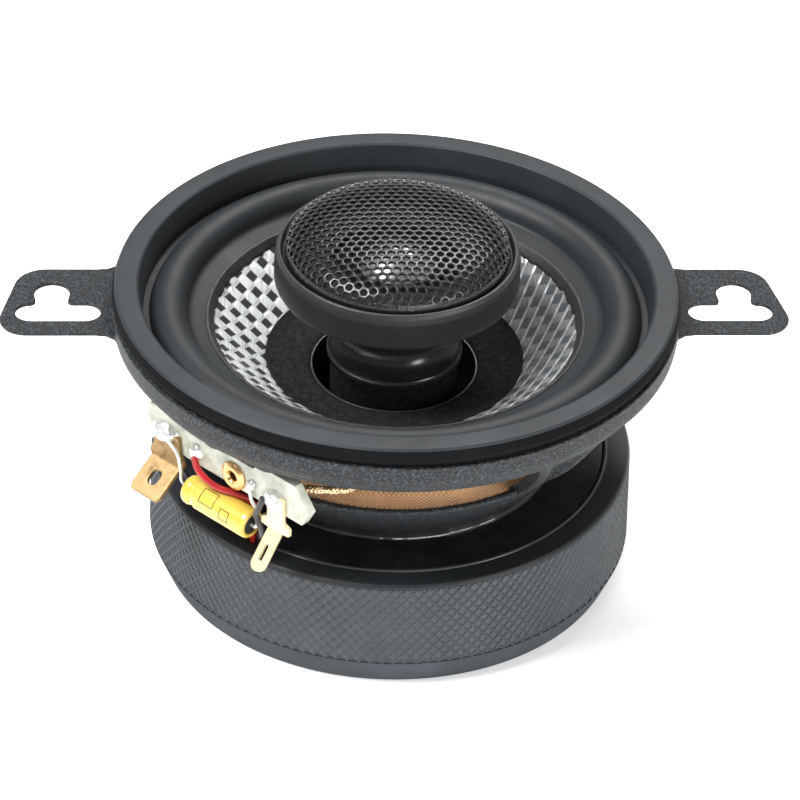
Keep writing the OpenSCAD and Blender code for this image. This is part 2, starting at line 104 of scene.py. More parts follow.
class SpeakerColours(bpy.types.PropertyGroup):
    """Colours that a user would change"""

    rubber: bpy.props.FloatVectorProperty(
        name="Rubber", description="Boot, gasket and surround", subtype="COLOR", size=3,
        default=(0.0165, 0.019, 0.021))
    coating: bpy.props.FloatVectorProperty(
        name="Coating", description="Grained coat of the basket", subtype="COLOR", size=3,
        default=(0.0135, 0.0155, 0.0172))
    cone_strand: bpy.props.FloatVectorProperty(
        name="Bright strand", description="Silver strands of the cone", subtype="COLOR", size=3,
        default=(0.82, 0.84, 0.85))
    cone_weft: bpy.props.FloatVectorProperty(
        name="Dark strand", description="Grey strands of the cone", subtype="COLOR", size=3,
        default=(0.022, 0.024, 0.026))
    sleeve: bpy.props.FloatVectorProperty(
        name="Capacitor sleeve", description="Sleeve of the capacitor", subtype="COLOR", size=3,
        default=(0.74, 0.50, 0.08))
    spider_cloth: bpy.props.FloatVectorProperty(
        name="Spider cloth", description="Treated cloth of the spider", subtype="COLOR", size=3,
        default=(0.98, 0.53, 0.27))


def sizes():
    return bpy.context.scene.speaker_sizes


def colours():
    return bpy.context.scene.speaker_colours


# ---------------------------------------------------------------- materials


class Tree:
    """Short calls for building a node tree."""

    def node(self, kind, inputs=None, **settings):
        made = self.tree.nodes.new(kind)
        for key, value in settings.items():
            setattr(made, key, value)
        for key, value in (inputs or {}).items():
            self.feed(made.inputs[key], value)
        return made

    def feed(self, socket, value):
        if isinstance(value, bpy.types.NodeSocket):
            self.tree.links.new(value, socket)
        else:
            socket.default_value = value

    def math(self, operation, *values):
        return self.node("ShaderNodeMath", dict(enumerate(values)), operation=operation).outputs[0]

    def split(self, vector):
        return self.node("ShaderNodeSeparateXYZ", {0: vector}).outputs


class Shader(Tree):
    """A Principled material under construction."""

    def __init__(self, name, colour, rough=0.5, metal=0.0, coat=0.0, spec=0.5, **more):
        self.material = bpy.data.materials.new(name)
        self.material.use_nodes = True
        self.tree = self.material.node_tree
        self.bsdf = self.tree.nodes["Principled BSDF"]
        self.set("Base Color", (*colour, 1))
        self.set("Roughness", rough)
        self.set("Metallic", metal)
        self.set("Coat Weight", coat)
        self.set("Coat Roughness", 0.12)
        self.set("Specular IOR Level", spec)
        for socket, value in more.items():
            self.set(socket.replace("_", " "), value)
        self.coords = self.node("ShaderNodeTexCoord").outputs["Object"]

    def set(self, socket, value):
        self.feed(self.bsdf.inputs[socket], value)

    def noise(self, scale, detail=3.0, rough=0.55, vector=None):
        return self.node("ShaderNodeTexNoise", {"Scale": scale, "Detail": detail, "Roughness": rough,
                                                "Vector": vector or self.coords}).outputs["Fac"]

    def mapped(self, scale, turn):
        return self.node("ShaderNodeMapping", {"Vector": self.coords, "Scale": scale,
                                               "Rotation": (0, 0, turn)}).outputs["Vector"]

    def attribute(self, name):
        return self.node("ShaderNodeAttribute", attribute_name=name).outputs["Fac"]

    def ramp(self, source, colour, *stops):
        """Stops are (place, factor of the colour) or (place, colour)."""
        made = self.node("ShaderNodeValToRGB", {"Fac": source})
        elements = made.color_ramp.elements
        while len(elements) < len(stops):
            elements.new(0.5)
        for element, (place, tone) in zip(elements, stops):
            element.position = place
            element.color = (*(tone if isinstance(tone, tuple) else shade(colour, tone)), 1)
        return made.outputs["Color"]

    def mix(self, factor, a, b, blend="MIX"):
        return self.node("ShaderNodeMix", {"Factor": factor, 6: a, 7: b}, data_type="RGBA",
                         blend_type=blend).outputs[2]

    def colour_from(self, source, colour, *stops):
        self.set("Base Color", self.ramp(source, colour, *stops))

    def rough_from(self, source, low, high):
        made = self.node("ShaderNodeMapRange", {"Value": source, "To Min": low, "To Max": high})
        self.set("Roughness", made.outputs["Result"])

    def bump(self, *layers):
        """Each layer is (height, strength, distance in millimetres). Gives back the finished material."""
        below = None
        for height, strength, distance in layers:
            made = self.node("ShaderNodeBump",
                             {"Strength": strength, "Distance": distance * MM, "Height": height})
            if below:
                self.feed(made.inputs["Normal"], below)
            below = made.outputs["Normal"]
        self.set("Normal", below)
        return self.material


def shade(colour, factor):
    return tuple(min(1.0, c * factor) for c in colour)


def rubber_material(name, colour, rough, grain=2600, relief=0.35, spec=0.3):
    """Moulded rubber with a cloudy tone and a fine grain. A number stands for a share of the rubber's
    colour."""
    if isinstance(colour, float):
        colour = shade(colours().rubber, colour)
    s = Shader(name, colour, rough, spec=spec)
    s.colour_from(s.noise(90, 4), colour, (0.3, 0.82), (0.55, 1), (0.75, 1.2))
    s.rough_from(s.noise(260, 3), rough - 0.08, rough + 0.1)
    return s.bump((s.noise(grain, 2), relief, 0.04), (s.noise(240, 3), 0.15, 0.08))


def knurl_material(name):
    """The knurled band: glossier rubber."""
    colour = shade(colours().rubber, 2.3)
    s = Shader(name, colour, 0.45, spec=0.6)
    s.colour_from(s.noise(150, 4), colour, (0.3, 0.85), (0.7, 1.18))
    s.rough_from(s.noise(500, 3), 0.42, 0.6)
    return s.bump((s.noise(2600, 2), 0.2, 0.03))


def coat_material(name):
    """Wrinkle powder coat: dark grains with paler crests."""
    colour = colours().coating
    s = Shader(name, colour, spec=0.35)
    grain = s.noise(2700, 3, 0.7)
    crest = s.node("ShaderNodeTexVoronoi", {"Scale": 3300, "Vector": s.coords}, feature="SMOOTH_F1")
    mixed = s.math("ADD", s.math("MULTIPLY", grain, 0.75),
                   s.math("MULTIPLY", crest.outputs["Distance"], 0.35))
    s.colour_from(mixed, colour, (0.42, 0.3), (0.51, 1), (0.59, 2.4), (0.68, 5.2))
    s.rough_from(grain, 0.4, 0.65)
    return s.bump((mixed, 1.0, 0.3))


def gloss_black_material(name, rough):
    """Glossy black enamel with faint runs and specks."""
    dark, pale = (0.007, 0.007, 0.008), (0.018, 0.018, 0.02)
    s = Shader(name, pale, rough, spec=0.3)
    s.colour_from(s.noise(420, 4), dark, (0.35, dark), (0.7, pale))
    s.rough_from(s.noise(600, 3), rough - 0.05, rough + 0.14)
    return s.bump((s.noise(160, 3), 0.12, 0.15))


def plastic_material(name, colour, rough):
    """Spark-eroded satin plastic."""
    s = Shader(name, colour, rough)
    s.colour_from(s.noise(140, 3), colour, (0.3, 0.85), (0.7, 1.25))
    s.rough_from(s.noise(900, 2), rough - 0.07, rough + 0.08)
    return s.bump((s.noise(3400, 2), 0.22, 0.03))


def felt_material(name):
    """Soft black doped paper with loose fibres."""
    colour = (0.012, 0.012, 0.012)
    s = Shader(name, colour, 0.95, spec=0.2)
    fibres = s.noise(1100, 5, 0.75)
    s.colour_from(fibres, colour, (0.4, 0.5), (0.62, 5 / 3), (0.78, 5))
    return s.bump((fibres, 0.5, 0.08))


def metal_material(name, colour, rough, grain=900, tarnish=0.55, relief=0.2, metal=1.0):
    """Bare or plated metal with drawn marks, tarnish and small dents."""
    s = Shader(name, colour, rough, metal=metal)
    s.colour_from(s.noise(320, 5, 0.65), colour, (0.3, tarnish), (0.5, 1), (0.72, 1.12))
    s.rough_from(s.noise(grain, 4), max(0.04, rough - 0.12), rough + 0.16)
    return s.bump((s.noise(grain * 1.6, 3), relief, 0.03))


def cloth_material(name):
    """Resin-treated spider cloth: a fine weave laid on the bias."""
    colour = colours().spider_cloth
    s = Shader(name, colour, 0.85, spec=0.25, Sheen_Weight=0.25)
    diagonal = s.mapped((1, 1, 1), pi / 4)
    weave = s.math("MULTIPLY", *(
        s.node("ShaderNodeTexWave", {"Scale": 560, "Distortion": 0.6, "Vector": diagonal}, wave_type="BANDS",
               bands_direction=direction).outputs["Fac"] for direction in "XY"))
    tone = s.math("ADD", s.math("MULTIPLY", weave, 0.55), s.math("MULTIPLY", s.noise(180, 4), 0.5))
    s.colour_from(tone, colour, (0.15, 0.5), (0.4, 1), (0.7, 1.25))
    return s.bump((weave, 0.6, 0.1))


def woven_material(name):
    """Glass-fibre weave: fibres run along each strand, and the strands turn greyer towards +X, a painted
    sheen standing in for the light glancing off the fibres differently on each side of the cone.
    """
    bright, dark = colours().cone_strand, colours().cone_weft
    s = Shader(name, bright, 0.34, metal=0.35, coat=0.35, spec=0.8)
    which, crown, line = (s.attribute(label) for label in ("strand", "crown", "line"))
    along_turn = -sizes().strand_angle - pi / 2
    fibres = [s.noise(1.0, 2, 0.5, s.mapped(scale, along_turn))
              for scale in ((5200, 260, 260), (260, 5200, 260))]
    fibre = s.node("ShaderNodeMix", {"Factor": which, 2: fibres[0], 3: fibres[1]},
                   data_type="FLOAT").outputs[0]
    # Painted sheen: from -X to +X each tone slides from its lit colour to a greyer one, standing in for how
    # the light glances off the fibres.
    side = s.node("ShaderNodeMapRange",
                  {"From Min": -6 * MM, "From Max": 22 * MM, "Value": s.split(s.coords)["X"]},
                  interpolation_type="SMOOTHSTEP").outputs["Result"]

    def tone(left, right):
        return s.mix(side, *(s.ramp(fibre, colour, (0.25, 0.6), (0.5, 1), (0.75, 1.3))
                             for colour in (left, right)))

    # Painted sheen: towards +X the bright strands are painted grey and the dark strands paler.
    strands = s.mix(which, tone(bright, shade(bright, 0.3)), tone(dark, shade(dark, 4.5)))
    # Lines along the strands' edges: the bright strand's own colour towards -X, and a painted highlight
    # towards +X, where the strands around them are painted grey.
    strands_with_painted_highlights = s.mix(line, strands, tone(bright, shade(bright, 0.85)))
    shadow = s.ramp(crown, (1, 1, 1), (0.0, 0.3), (0.35, 0.8), (0.7, 1))
    s.set("Base Color", s.mix(1.0, strands_with_painted_highlights, shadow, "MULTIPLY"))
    return s.bump((fibre, 0.35, 0.05))


def board_material(name):
    """Laminated fibre board: pale, mottled, with a resin gloss."""
    colour = (0.50, 0.52, 0.43)
    s = Shader(name, colour, 0.35, coat=0.15)
    s.colour_from(s.noise(260, 5, 0.6), colour, (0.3, (0.27, 0.31, 0.23)), (0.5, 1),
                  (0.7, (0.72, 0.72, 0.63)))
    return s.bump((s.noise(900, 3), 0.2, 0.05))


def sleeve_material(name):
    """Glossy heat-shrink sleeve."""
    colour = colours().sleeve
    s = Shader(name, colour, 0.2, coat=0.6)
    s.colour_from(s.noise(150, 2), colour, (0.35, 0.88), (0.7, 1.08))
    return s.bump((s.noise(300, 2), 0.08, 0.1))


def insulation_material(name, colour):
    """Plastic insulation of a wire."""
    s = Shader(name, colour, 0.3, coat=0.2)
    s.colour_from(s.noise(200, 3), colour, (0.3, 0.75), (0.7, 1.25))
    return s.bump((s.noise(700, 2), 0.12, 0.04))


# Each finish: its maker and what the maker takes after the name
FINISHES = {
    "boot_side": (rubber_material, 3.5, 0.75, 2600, 0.35, 0.1),
    "boot_rim": (rubber_material, 1.1, 0.42, 2600, 0.2),
    "boot_knurl": (knurl_material,),
    "gasket_rubber": (rubber_material, 1.35, 0.5),
    # Painted shade: a far darker copy of the gasket rubber, for the outer wall that lies in shade.
    "gasket_wall": (rubber_material, 0.3, 0.8, 2600, 0.35, 0.08),
    "surround_rubber": (rubber_material, 1.05, 0.48, 3000, 0.25),
    # Paler, glossier rubber for the bead at the boot's bore: the paler colour paints a highlight along that
    # edge.
    "plate_lip": (rubber_material, (0.06, 0.064, 0.07), 0.22, 2600, 0.1, 0.6),
    "wrinkle_coat": (coat_material,),
    "black_gloss": (gloss_black_material, 0.28),
    "glue": (rubber_material, (0.02, 0.02, 0.021), 0.18, 1500, 0.8, 1.0),
    "cone_glue": (rubber_material, (0.014, 0.015, 0.016), 0.5, 1500, 1.0, 0.5),
    "tweeter_plastic": (plastic_material, (0.013, 0.0145, 0.0165), 0.42),
    "post_plastic": (plastic_material, (0.014, 0.015, 0.016), 0.24),
    "collar_felt": (felt_material,),
    "spider_cloth": (cloth_material,),
    "woven_glass": (woven_material,),
    "former_foil": (rubber_material, (0.03, 0.028, 0.026), 0.35, 2600, 0.35, 0.6),
    "ferrite": (rubber_material, (0.03, 0.03, 0.032), 0.6, 1200, 0.6),
    "copper_wire": (metal_material, (0.72, 0.33, 0.15), 0.3),
    "plated_steel": (metal_material, (0.6, 0.6, 0.61), 0.32),
    "dome_foil": (metal_material, (0.62, 0.63, 0.65), 0.3, 500, 0.9, 0.05),
    "grille_steel": (metal_material, (0.009, 0.0095, 0.011), 0.24, 1200, 0.9, 0.1, 0.0),
    "brass": (metal_material, (0.33, 0.215, 0.10), 0.45, 1500, 0.4, 0.9, 0.8),
    "pale_brass": (metal_material, (0.86, 0.72, 0.45), 0.35, 900, 0.93, 0.1, 0.55),
    "copper_eyelet": (metal_material, (0.8, 0.48, 0.22), 0.28, 900, 0.6, 0.2),
    "solder": (metal_material, (0.86, 0.85, 0.82), 0.28, 700, 0.85, 0.3, 0.75),
    "tinsel": (metal_material, (0.85, 0.62, 0.38), 0.3, 2200, 0.6, 0.2),
    "fibre_board": (board_material,),
    "capacitor_sleeve": (sleeve_material,),
    "capacitor_seal": (rubber_material, (0.02, 0.02, 0.02), 0.5),
    "print_black": (gloss_black_material, 0.3),
    "red_insulation": (insulation_material, (0.38, 0.014, 0.016)),
    "black_insulation": (insulation_material, (0.012, 0.012, 0.013)),
}
_made = {}


def material(name):
    """The named material, made the first time that it is asked for."""
    if name not in _made:
        maker, *values = FINISHES[name]
        _made[name] = maker(name, *values)
    return _made[name]


# ---------------------------------------------------------------- mesh helpers


def make_object(name, points, faces, *mats, face_mats=None, sharp=40, flat=False):
    """A mesh object from points in millimetres, with smooth shading that stays sharp at creases."""
    mesh = bpy.data.meshes.new(name)
    mesh.from_pydata([tuple(c * MM for c in p) for p in points], [], [tuple(f) for f in faces])
    for m in mats:
        mesh.materials.append(material(m))
    if face_mats is not None:
        mesh.polygons.foreach_set("material_index", face_mats)
    if not flat:
        mesh.shade_smooth()
        mesh.set_sharp_from_angle(angle=radians(sharp))
    mesh.update()
    made = bpy.data.objects.new(name, mesh)
    bpy.context.scene.collection.objects.link(made)
    return made


def rounded(section, radii, steps=4):
    """A closed outline with its corners rounded: radii holds one radius, or one for each corner."""
    count = len(section)
    if isinstance(radii, (int, float)):
        radii = [radii] * count
    result = []
    for i, corner in enumerate(section):
        p, a, b = (np.array(section[k % count], float) for k in (i, i - 1, i + 1))
        u, v = a - p, b - p
        lu, lv = np.linalg.norm(u), np.linalg.norm(v)
        u, v = u / lu, v / lv
        half = math.acos(max(-1, min(1, float(u @ v)))) / 2
        reach = min(radii[i] / max(math.tan(half), 1e-6), 0.45 * lu, 0.45 * lv)
        if radii[i] <= 0 or half > radians(86):
            result.append(tuple(p))
            continue
        for k in range(steps + 1):
            t = k / steps
            point = (1 - t) ** 2 * (p + u * reach) + 2 * t * (1 - t) * p + t * t * (p + v * reach)
            result.append(tuple(point))
    return result


def band_faces(rows, n, wrap=False, flip=False):
    """Quads between rows of n points. Each row closes on itself, and wrap joins the last row to the first."""
    faces = []
    for k in range(rows):
        for i in range(n):
            j = (i + 1) % n
            quad = [k * n + i, k * n + j, (k + 1) * n + j, (k + 1) * n + i]
            if flip:
                quad = [quad[0], quad[3], quad[2], quad[1]]
            faces.append([q % (rows * n) for q in quad] if wrap else quad)
    return faces


def turned(section, steps, place, flip=False):
    """Turns a closed (radius, height) outline: place(angle, radius, height) gives each point."""
    points = [place(2 * pi * k / steps, r, h) for k in range(steps) for r, h in section]
    return points, band_faces(steps, len(section), wrap=True, flip=flip)


def section_kinds(section, steps, mat_of):
    """A material index for each face of a turned outline."""
    if mat_of is None:
        return None
    return [mat_of(a, b) for a, b in zip(section, section[1:] + section[:1])] * steps


def lathe(name, section, *mats, segments=192, sharp=40, mat_of=None, wobble=None):
    """Turns a closed (radius, height) outline about the axis, facing outwards."""
    section = anticlockwise(section)

    def place(a, r, z):
        dr, dz = wobble(a, r, z) if wobble else (0, 0)
        return ((r + dr) * cos(a), (r + dr) * sin(a), z + dz)

    kinds = section_kinds(section, segments, mat_of)
    points, faces, kinds = weld(*turned(section, segments, place, flip=True), kinds)
    return make_object(name, points, faces, *mats, face_mats=kinds, sharp=sharp)


def weld(points, faces, kinds=None):
    """Joins repeated points and drops the faces that collapse with them."""
    keep, index, place = [], [], {}
    for p in points:
        key = tuple(round(c, 5) + 0.0 for c in p)
        if key not in place:
            place[key] = len(keep)
            keep.append(p)
        index.append(place[key])
    slim, slim_kinds = [], []
    for k, f in enumerate(faces):
        corners = list(dict.fromkeys(index[i] for i in f))
        if len(corners) > 2:
            slim.append(corners)
            slim_kinds.append(kinds[k] if kinds else 0)
    return keep, slim, slim_kinds if kinds else None


def smooth_path(points, per_span):
    """Catmull-Rom points through a list of places."""
    p = np.array(points, float)
    result = []
    for i in range(len(p) - 1):
        a, b, c, d = p[max(i - 1, 0)], p[i], p[i + 1], p[min(i + 2, len(p) - 1)]
        for k in range(per_span):
            t = k / per_span
            result.append(0.5 * (2 * b + (c - a) * t + (2 * a - 5 * b + 4 * c - d) * t * t
                                 + (3 * b - a - 3 * c + d) * t ** 3))
    return np.array(result + [p[-1]])


def path_frames(path):
    """A tangent and two side vectors at each point, carried along so that they never twist."""
    tangents = np.gradient(path, axis=0)
    tangents /= np.linalg.norm(tangents, axis=1)[:, None]
    side = np.cross(tangents[0], (0.13, 0.2, 0.97))
    sides = []
    for t in tangents:
        side = side - (side @ t) * t
        side = side / np.linalg.norm(side)
        sides.append(side)
    sides = np.array(sides)
    return tangents, sides, np.cross(tangents, sides)


def tube_data(path, radius, sides=12):
    """Points and faces of a capped tube."""
    path = np.array(path, float)
    _, u, w = path_frames(path)
    points = []
    for p, a, b in zip(path, u, w):
        for k in range(sides):
            t = 2 * pi * k / sides
            points.append(tuple(p + radius * cos(t) * a + radius * sin(t) * b))
    last = (len(path) - 1) * sides
    caps = [list(range(sides))[::-1], [last + k for k in range(sides)]]
    return points, band_faces(len(path) - 1, sides) + caps


def joined(parts):
    """One list of points and one of faces from several (points, faces) pairs."""
    points, faces = [], []
    for p, f in parts:
        base = len(points)
        points += list(p)
        faces += [[i + base for i in face] for face in f]
    return points, faces


def prism_data(outline, low, high, bevel):
    """An outline drawn up from low to high with bevelled edges."""
    levels = [(low, bevel), (low + bevel, 0), (high - bevel, 0), (high, bevel)]
    n = len(outline)
    points = [(x, y, z) for z, inset in levels for x, y in inset_outline(outline, inset)]
    return points, band_faces(3, n) + [list(range(n))[::-1], [3 * n + i for i in range(n)]]


def inset_outline(outline, distance):
    """Moves an anticlockwise outline inwards by a small distance."""
    p = np.array(outline, float)
    before, after = np.roll(p, 1, 0), np.roll(p, -1, 0)
    d1 = (p - before) / np.linalg.norm(p - before, axis=1)[:, None]
    d2 = (after - p) / np.linalg.norm(after - p, axis=1)[:, None]
    n1 = np.stack([-d1[:, 1], d1[:, 0]], 1)
    n2 = np.stack([-d2[:, 1], d2[:, 0]], 1)
    m = n1 + n2
    m /= np.maximum(np.sum(m * m, axis=1)[:, None] / 2, 0.35)
    return [tuple(q) for q in p + m * distance]


def flat_plate(name, outline, holes, low, high, bevel, *mats):
    """A plate with through holes and rounded edges, closed and facing outwards."""
    steps = [(low, 1.0), (low, 0.0)]
    for k in range(1, 5):
        a = pi / 2 * k / 4
        steps.append((low + bevel * (1 - cos(a)), sin(a) - 1))
    edge = [(z, -inset * bevel if inset <= 0 else bevel + 0.15) for z, inset in steps]
    edge[1] = (low, bevel)
    levels = edge + [(high + low - z, inset) for z, inset in edge[::-1]]
    loops = [anticlockwise(outline)] + [anticlockwise(h)[::-1] for h in holes]
    points, faces, caps = [], [], []
    for loop in loops:
        n, base = len(loop), len(points)
        for z, inset in levels:
            points += [(x, y, z) for x, y in inset_outline(loop, inset)]
        faces += [[base + i for i in f] for f in band_faces(len(levels) - 1, n)]
        caps.append((base, n))
    for level, flip in ((0, True), (len(levels) - 1, False)):
        rings = [[base + level * n + i for i in range(n)] for base, n in caps]
        flat = [i for ring in rings for i in ring]
        for triangle in tessellate_polygon([[Vector(points[i]) for i in ring] for ring in rings]):
            a, b, c = (flat[i] for i in triangle)
            pa, pb, pc = (points[i] for i in (a, b, c))
            up = (pb[0] - pa[0]) * (pc[1] - pa[1]) - (pc[0] - pa[0]) * (pb[1] - pa[1]) > 0
            faces.append([a, b, c] if up != flip else [a, c, b])
    return make_object(name, points, faces, *mats)


def anticlockwise(loop):
    area = sum(a[0] * b[1] - b[0] * a[1] for a, b in zip(loop, loop[1:] + loop[:1]))
    return list(loop) if area >= 0 else list(loop)[::-1]


def tidy_mesh(made, distance=0.002 * MM, sharp=40):
    """Merges doubles, points the faces outwards and sets smooth shading with sharp creases."""
    work = bmesh.new()
    work.from_mesh(made.data)
    bmesh.ops.remove_doubles(work, verts=work.verts, dist=distance)
    bmesh.ops.recalc_face_normals(work, faces=work.faces)
    work.to_mesh(made.data)
    work.free()
    made.data.shade_smooth()
    made.data.set_sharp_from_angle(angle=radians(sharp))


def join_objects(name, objects):
    """One object from several, with their materials kept."""
    bpy.ops.object.select_all(action="DESELECT")
    for o in objects:
        o.select_set(True)
    bpy.context.view_layer.objects.active = objects[0]
    bpy.ops.object.join()
    made = bpy.context.view_layer.objects.active
    made.name = name
    made.data.name = name
    return made


def paint(node, name):
    """Gives a CAD node its finished material."""
    cad = frame["nodes"][node]
    cad.data.materials.clear()
    cad.data.materials.append(material(name))


def finish_piece(made, body, slot, *nodes):
    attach(made, body)
    if nodes:
        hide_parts(*nodes)
    return made


def ease(t):
    t = np.clip(t, 0, 1)
    return t * t * (3 - 2 * t)


def bend_piece(made, node):
    """Bakes the piece's transform into its points, reads the points and hides the CAD node that the piece
    replaces."""
    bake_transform(made)
    co = np.zeros(len(made.data.vertices) * 3)
    made.data.vertices.foreach_get("co", co)
    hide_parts(node)


# ---------------------------------------------------------------- geometry nodes helpers


class Geo(Tree):
    """A Geometry Nodes tree under construction. Inputs are given as label=socket kind."""

    def __init__(self, name, **inputs):
        self.tree = bpy.data.node_groups.new(name, "GeometryNodeTree")
        face = self.tree.interface
        face.new_socket(name="Geometry", in_out="INPUT", socket_type="NodeSocketGeometry")
        self.ids = {}
        for key, kind in inputs.items():
            label = key.replace("_", " ")
            made = face.new_socket(name=label, in_out="INPUT", socket_type="NodeSocket" + kind)
            self.ids[label] = made.identifier
        face.new_socket(name="Geometry", in_out="OUTPUT", socket_type="NodeSocketGeometry")
        self.inputs = self.node("NodeGroupInput").outputs

    def make(self, kind, inputs=None, **settings):
        return self.node(kind, inputs, **settings).outputs[0]

    def vector(self, x, y, z):
        return self.make("ShaderNodeCombineXYZ", {0: x, 1: y, 2: z})

    def position(self):
        return self.make("GeometryNodeInputPosition")

    def index(self):
        return self.make("GeometryNodeInputIndex")

    def move(self, geometry, position):
        return self.make("GeometryNodeSetPosition", {"Geometry": geometry, "Position": position})

    def scatter(self, count, position, selection=True):
        """Real copies of the input geometry at count places."""
        places = self.move(self.make("GeometryNodeMeshLine", {"Count": count}), position)
        copies = self.make("GeometryNodeInstanceOnPoints", {
            "Points": places, "Instance": self.inputs["Geometry"], "Selection": selection})
        return self.make("GeometryNodeRealizeInstances", {"Geometry": copies})

    def end(self, geometry):
        """Realizes instances, sets the material and closes the tree."""
        real = self.make("GeometryNodeRealizeInstances", {"Geometry": geometry})
        finished = self.make("GeometryNodeSetMaterial",
                             {"Geometry": real, "Material": self.inputs["Material"]})
        self.node("NodeGroupOutput", {0: finished})
        return self


def apply_nodes(made, geo, values):
    """Runs a tree on an object and keeps the result as its plain mesh."""
    modifier = made.modifiers.new(geo.tree.name, "NODES")
    modifier.node_group = geo.tree
    for label, value in values.items():
        modifier[geo.ids[label]] = value
    bpy.context.view_layer.update()
    evaluated = made.evaluated_get(bpy.context.evaluated_depsgraph_get())
    mesh = bpy.data.meshes.new_from_object(evaluated)
    made.modifiers.remove(modifier)
    made.data = mesh
    return made


# ---------------------------------------------------------------- motor


BOOT_R = 39.9
BOOT_H = 20.3
BAND_LOW = 4.9
BAND_HIGH = 19.5
BAND_TOP_R = 39.5


def build_boot():
    """The boot's smooth body: floor, foot, rim and bore."""
    core = BOOT_R - 0.62
    section = [(0, 0), (38.0, 0), (BOOT_R - 0.02, BAND_LOW - 0.25), (BOOT_R - 0.05, BAND_LOW),
               (core, BAND_LOW + 0.06),
               (core - 0.3, BAND_HIGH - 0.06), (BAND_TOP_R, BAND_HIGH), (BAND_TOP_R - 0.1, BAND_HIGH + 0.35),
               (BAND_TOP_R - 0.45, BOOT_H - 0.05), (BAND_TOP_R - 0.9, BOOT_H), (35.5, BOOT_H),
               (35.12, BOOT_H - 0.25), (35.12, 2.4), (0, 2.4)]
    section = rounded(section, [0, 0.5, 0.3, 0.05, 0.05, 0.05, 0.1, 0.2, 0.3, 0.3, 0.25, 0.2, 0.2, 0])

    def part(a, b):
        return int(min(a[1], b[1]) > BAND_HIGH - 0.1 or (a[0] < 35.4 and a[1] > 2.5))

    return lathe("motor_boot_body", section, "boot_side", "boot_rim", segments=256, mat_of=part)


def knurl_cell(width, height, depth):
    """One dished diamond: a closed block whose crest is the diamond's outline, x across, y up, z outwards."""
    outline = [(width / 2, 0), (0, height / 2), (-width / 2, 0), (0, -height / 2)]
    levels = [(1.0, -0.55), (1.0, 0.0), (0.93, 0.0), (0.66, -depth)]
    points = [(x * scale, y * scale, z) for scale, z in levels for x, y in outline]
    return points, band_faces(3, 4) + [[3, 2, 1, 0], [12, 13, 14, 15]]


def knurl_tree():
    """Repeats the input cell over a band, then wraps the band round the boot."""
    g = Geo("knurl_band", Columns="Int", Half_Rows="Int", Low="Float", High="Float", Low_Radius="Float",
            High_Radius="Float", Material="Material")
    calc, src = g.math, g.inputs
    row = calc("FLOOR", calc("DIVIDE", g.index(), src["Columns"]))
    column = calc("MODULO", g.index(), src["Columns"])
    shift = calc("MULTIPLY", calc("MODULO", row, 2.0), 0.5)
    turn = calc("DIVIDE", calc("MULTIPLY", calc("ADD", column, shift), 2 * pi), src["Columns"])
    span = calc("SUBTRACT", src["High"], src["Low"])
    up = calc("ADD", src["Low"], calc("MULTIPLY", span,
                                      calc("DIVIDE", row, calc("SUBTRACT", src["Half Rows"], 1.0))))
    cells = g.scatter(calc("MULTIPLY", src["Columns"], src["Half Rows"]),
                      g.vector(calc("MULTIPLY", turn, src["Low Radius"]), up, 0.0))
    x, y, z = g.split(g.position())
    height = calc("MINIMUM", calc("MAXIMUM", y, src["Low"]), src["High"])
    share = calc("DIVIDE", calc("SUBTRACT", height, src["Low"]), span)
    wider = calc("MULTIPLY", share, calc("SUBTRACT", src["High Radius"], src["Low Radius"]))
    out = calc("ADD", calc("ADD", src["Low Radius"], wider), z)
    angle = calc("DIVIDE", x, src["Low Radius"])
    return g.end(g.move(cells, g.vector(
        calc("MULTIPLY", out, calc("COSINE", angle)), calc("MULTIPLY", out, calc("SINE", angle)), height)))


def build_knurl():
    s = sizes()
    half_rows = 2 * s.knurl_rows + 1
    width = 2 * pi * BOOT_R / s.knurl_columns
    height = (BAND_HIGH - BAND_LOW) / s.knurl_rows
    cell = make_object("boot_knurl", *knurl_cell(width, height, s.knurl_depth / MM), flat=True)
    return apply_nodes(cell, knurl_tree(), {
        "Columns": s.knurl_columns, "Half Rows": half_rows, "Low": BAND_LOW * MM, "High": BAND_HIGH * MM,
        "Low Radius": BOOT_R * MM, "High Radius": BAND_TOP_R * MM, "Material": material("boot_knurl")})


class SPEAKER_OT_motor(bpy.types.Operator):
    """Builds the knurled boot and finishes the motor's steel, magnet and screw"""

    bl_idname = "speaker.motor"
    bl_label = "Motor"

    def execute(self, context):
        finish_piece(build_boot(), "frame", "boot_rubber", "motor_boot")
        finish_piece(build_knurl(), "frame", "boot_rubber")
        plate = lathe("front_plate_disc",
                      rounded([(14.9, 16.2), (34.98, 16.2), (34.98, 20.2), (14.9, 20.2)], 0.25),
                      "black_gloss", segments=256)
        finish_piece(plate, "frame", "black_plate", "front_plate")
        # A bead along the bore's edge, in a paler rubber that paints a highlight there.
        lip = lathe("boot_bore_lip", [(35.5 + 0.3 * cos(a), BOOT_H - 0.02 + 0.22 * sin(a))
                                      for a in np.linspace(0, 2 * pi, 17)[:-1]], "plate_lip", segments=256)
        finish_piece(lip, "frame", "boot_rubber")
        paint("back_plate", "plated_steel")
        paint("magnet", "ferrite")
        paint("post_screw", "plated_steel")
        return {"FINISHED"}


# ---------------------------------------------------------------- basket


RIM_R = 45.7
BOARD_SPOKE = 232
SPOKE_ANGLES = (52, 128, BOARD_SPOKE, 308)


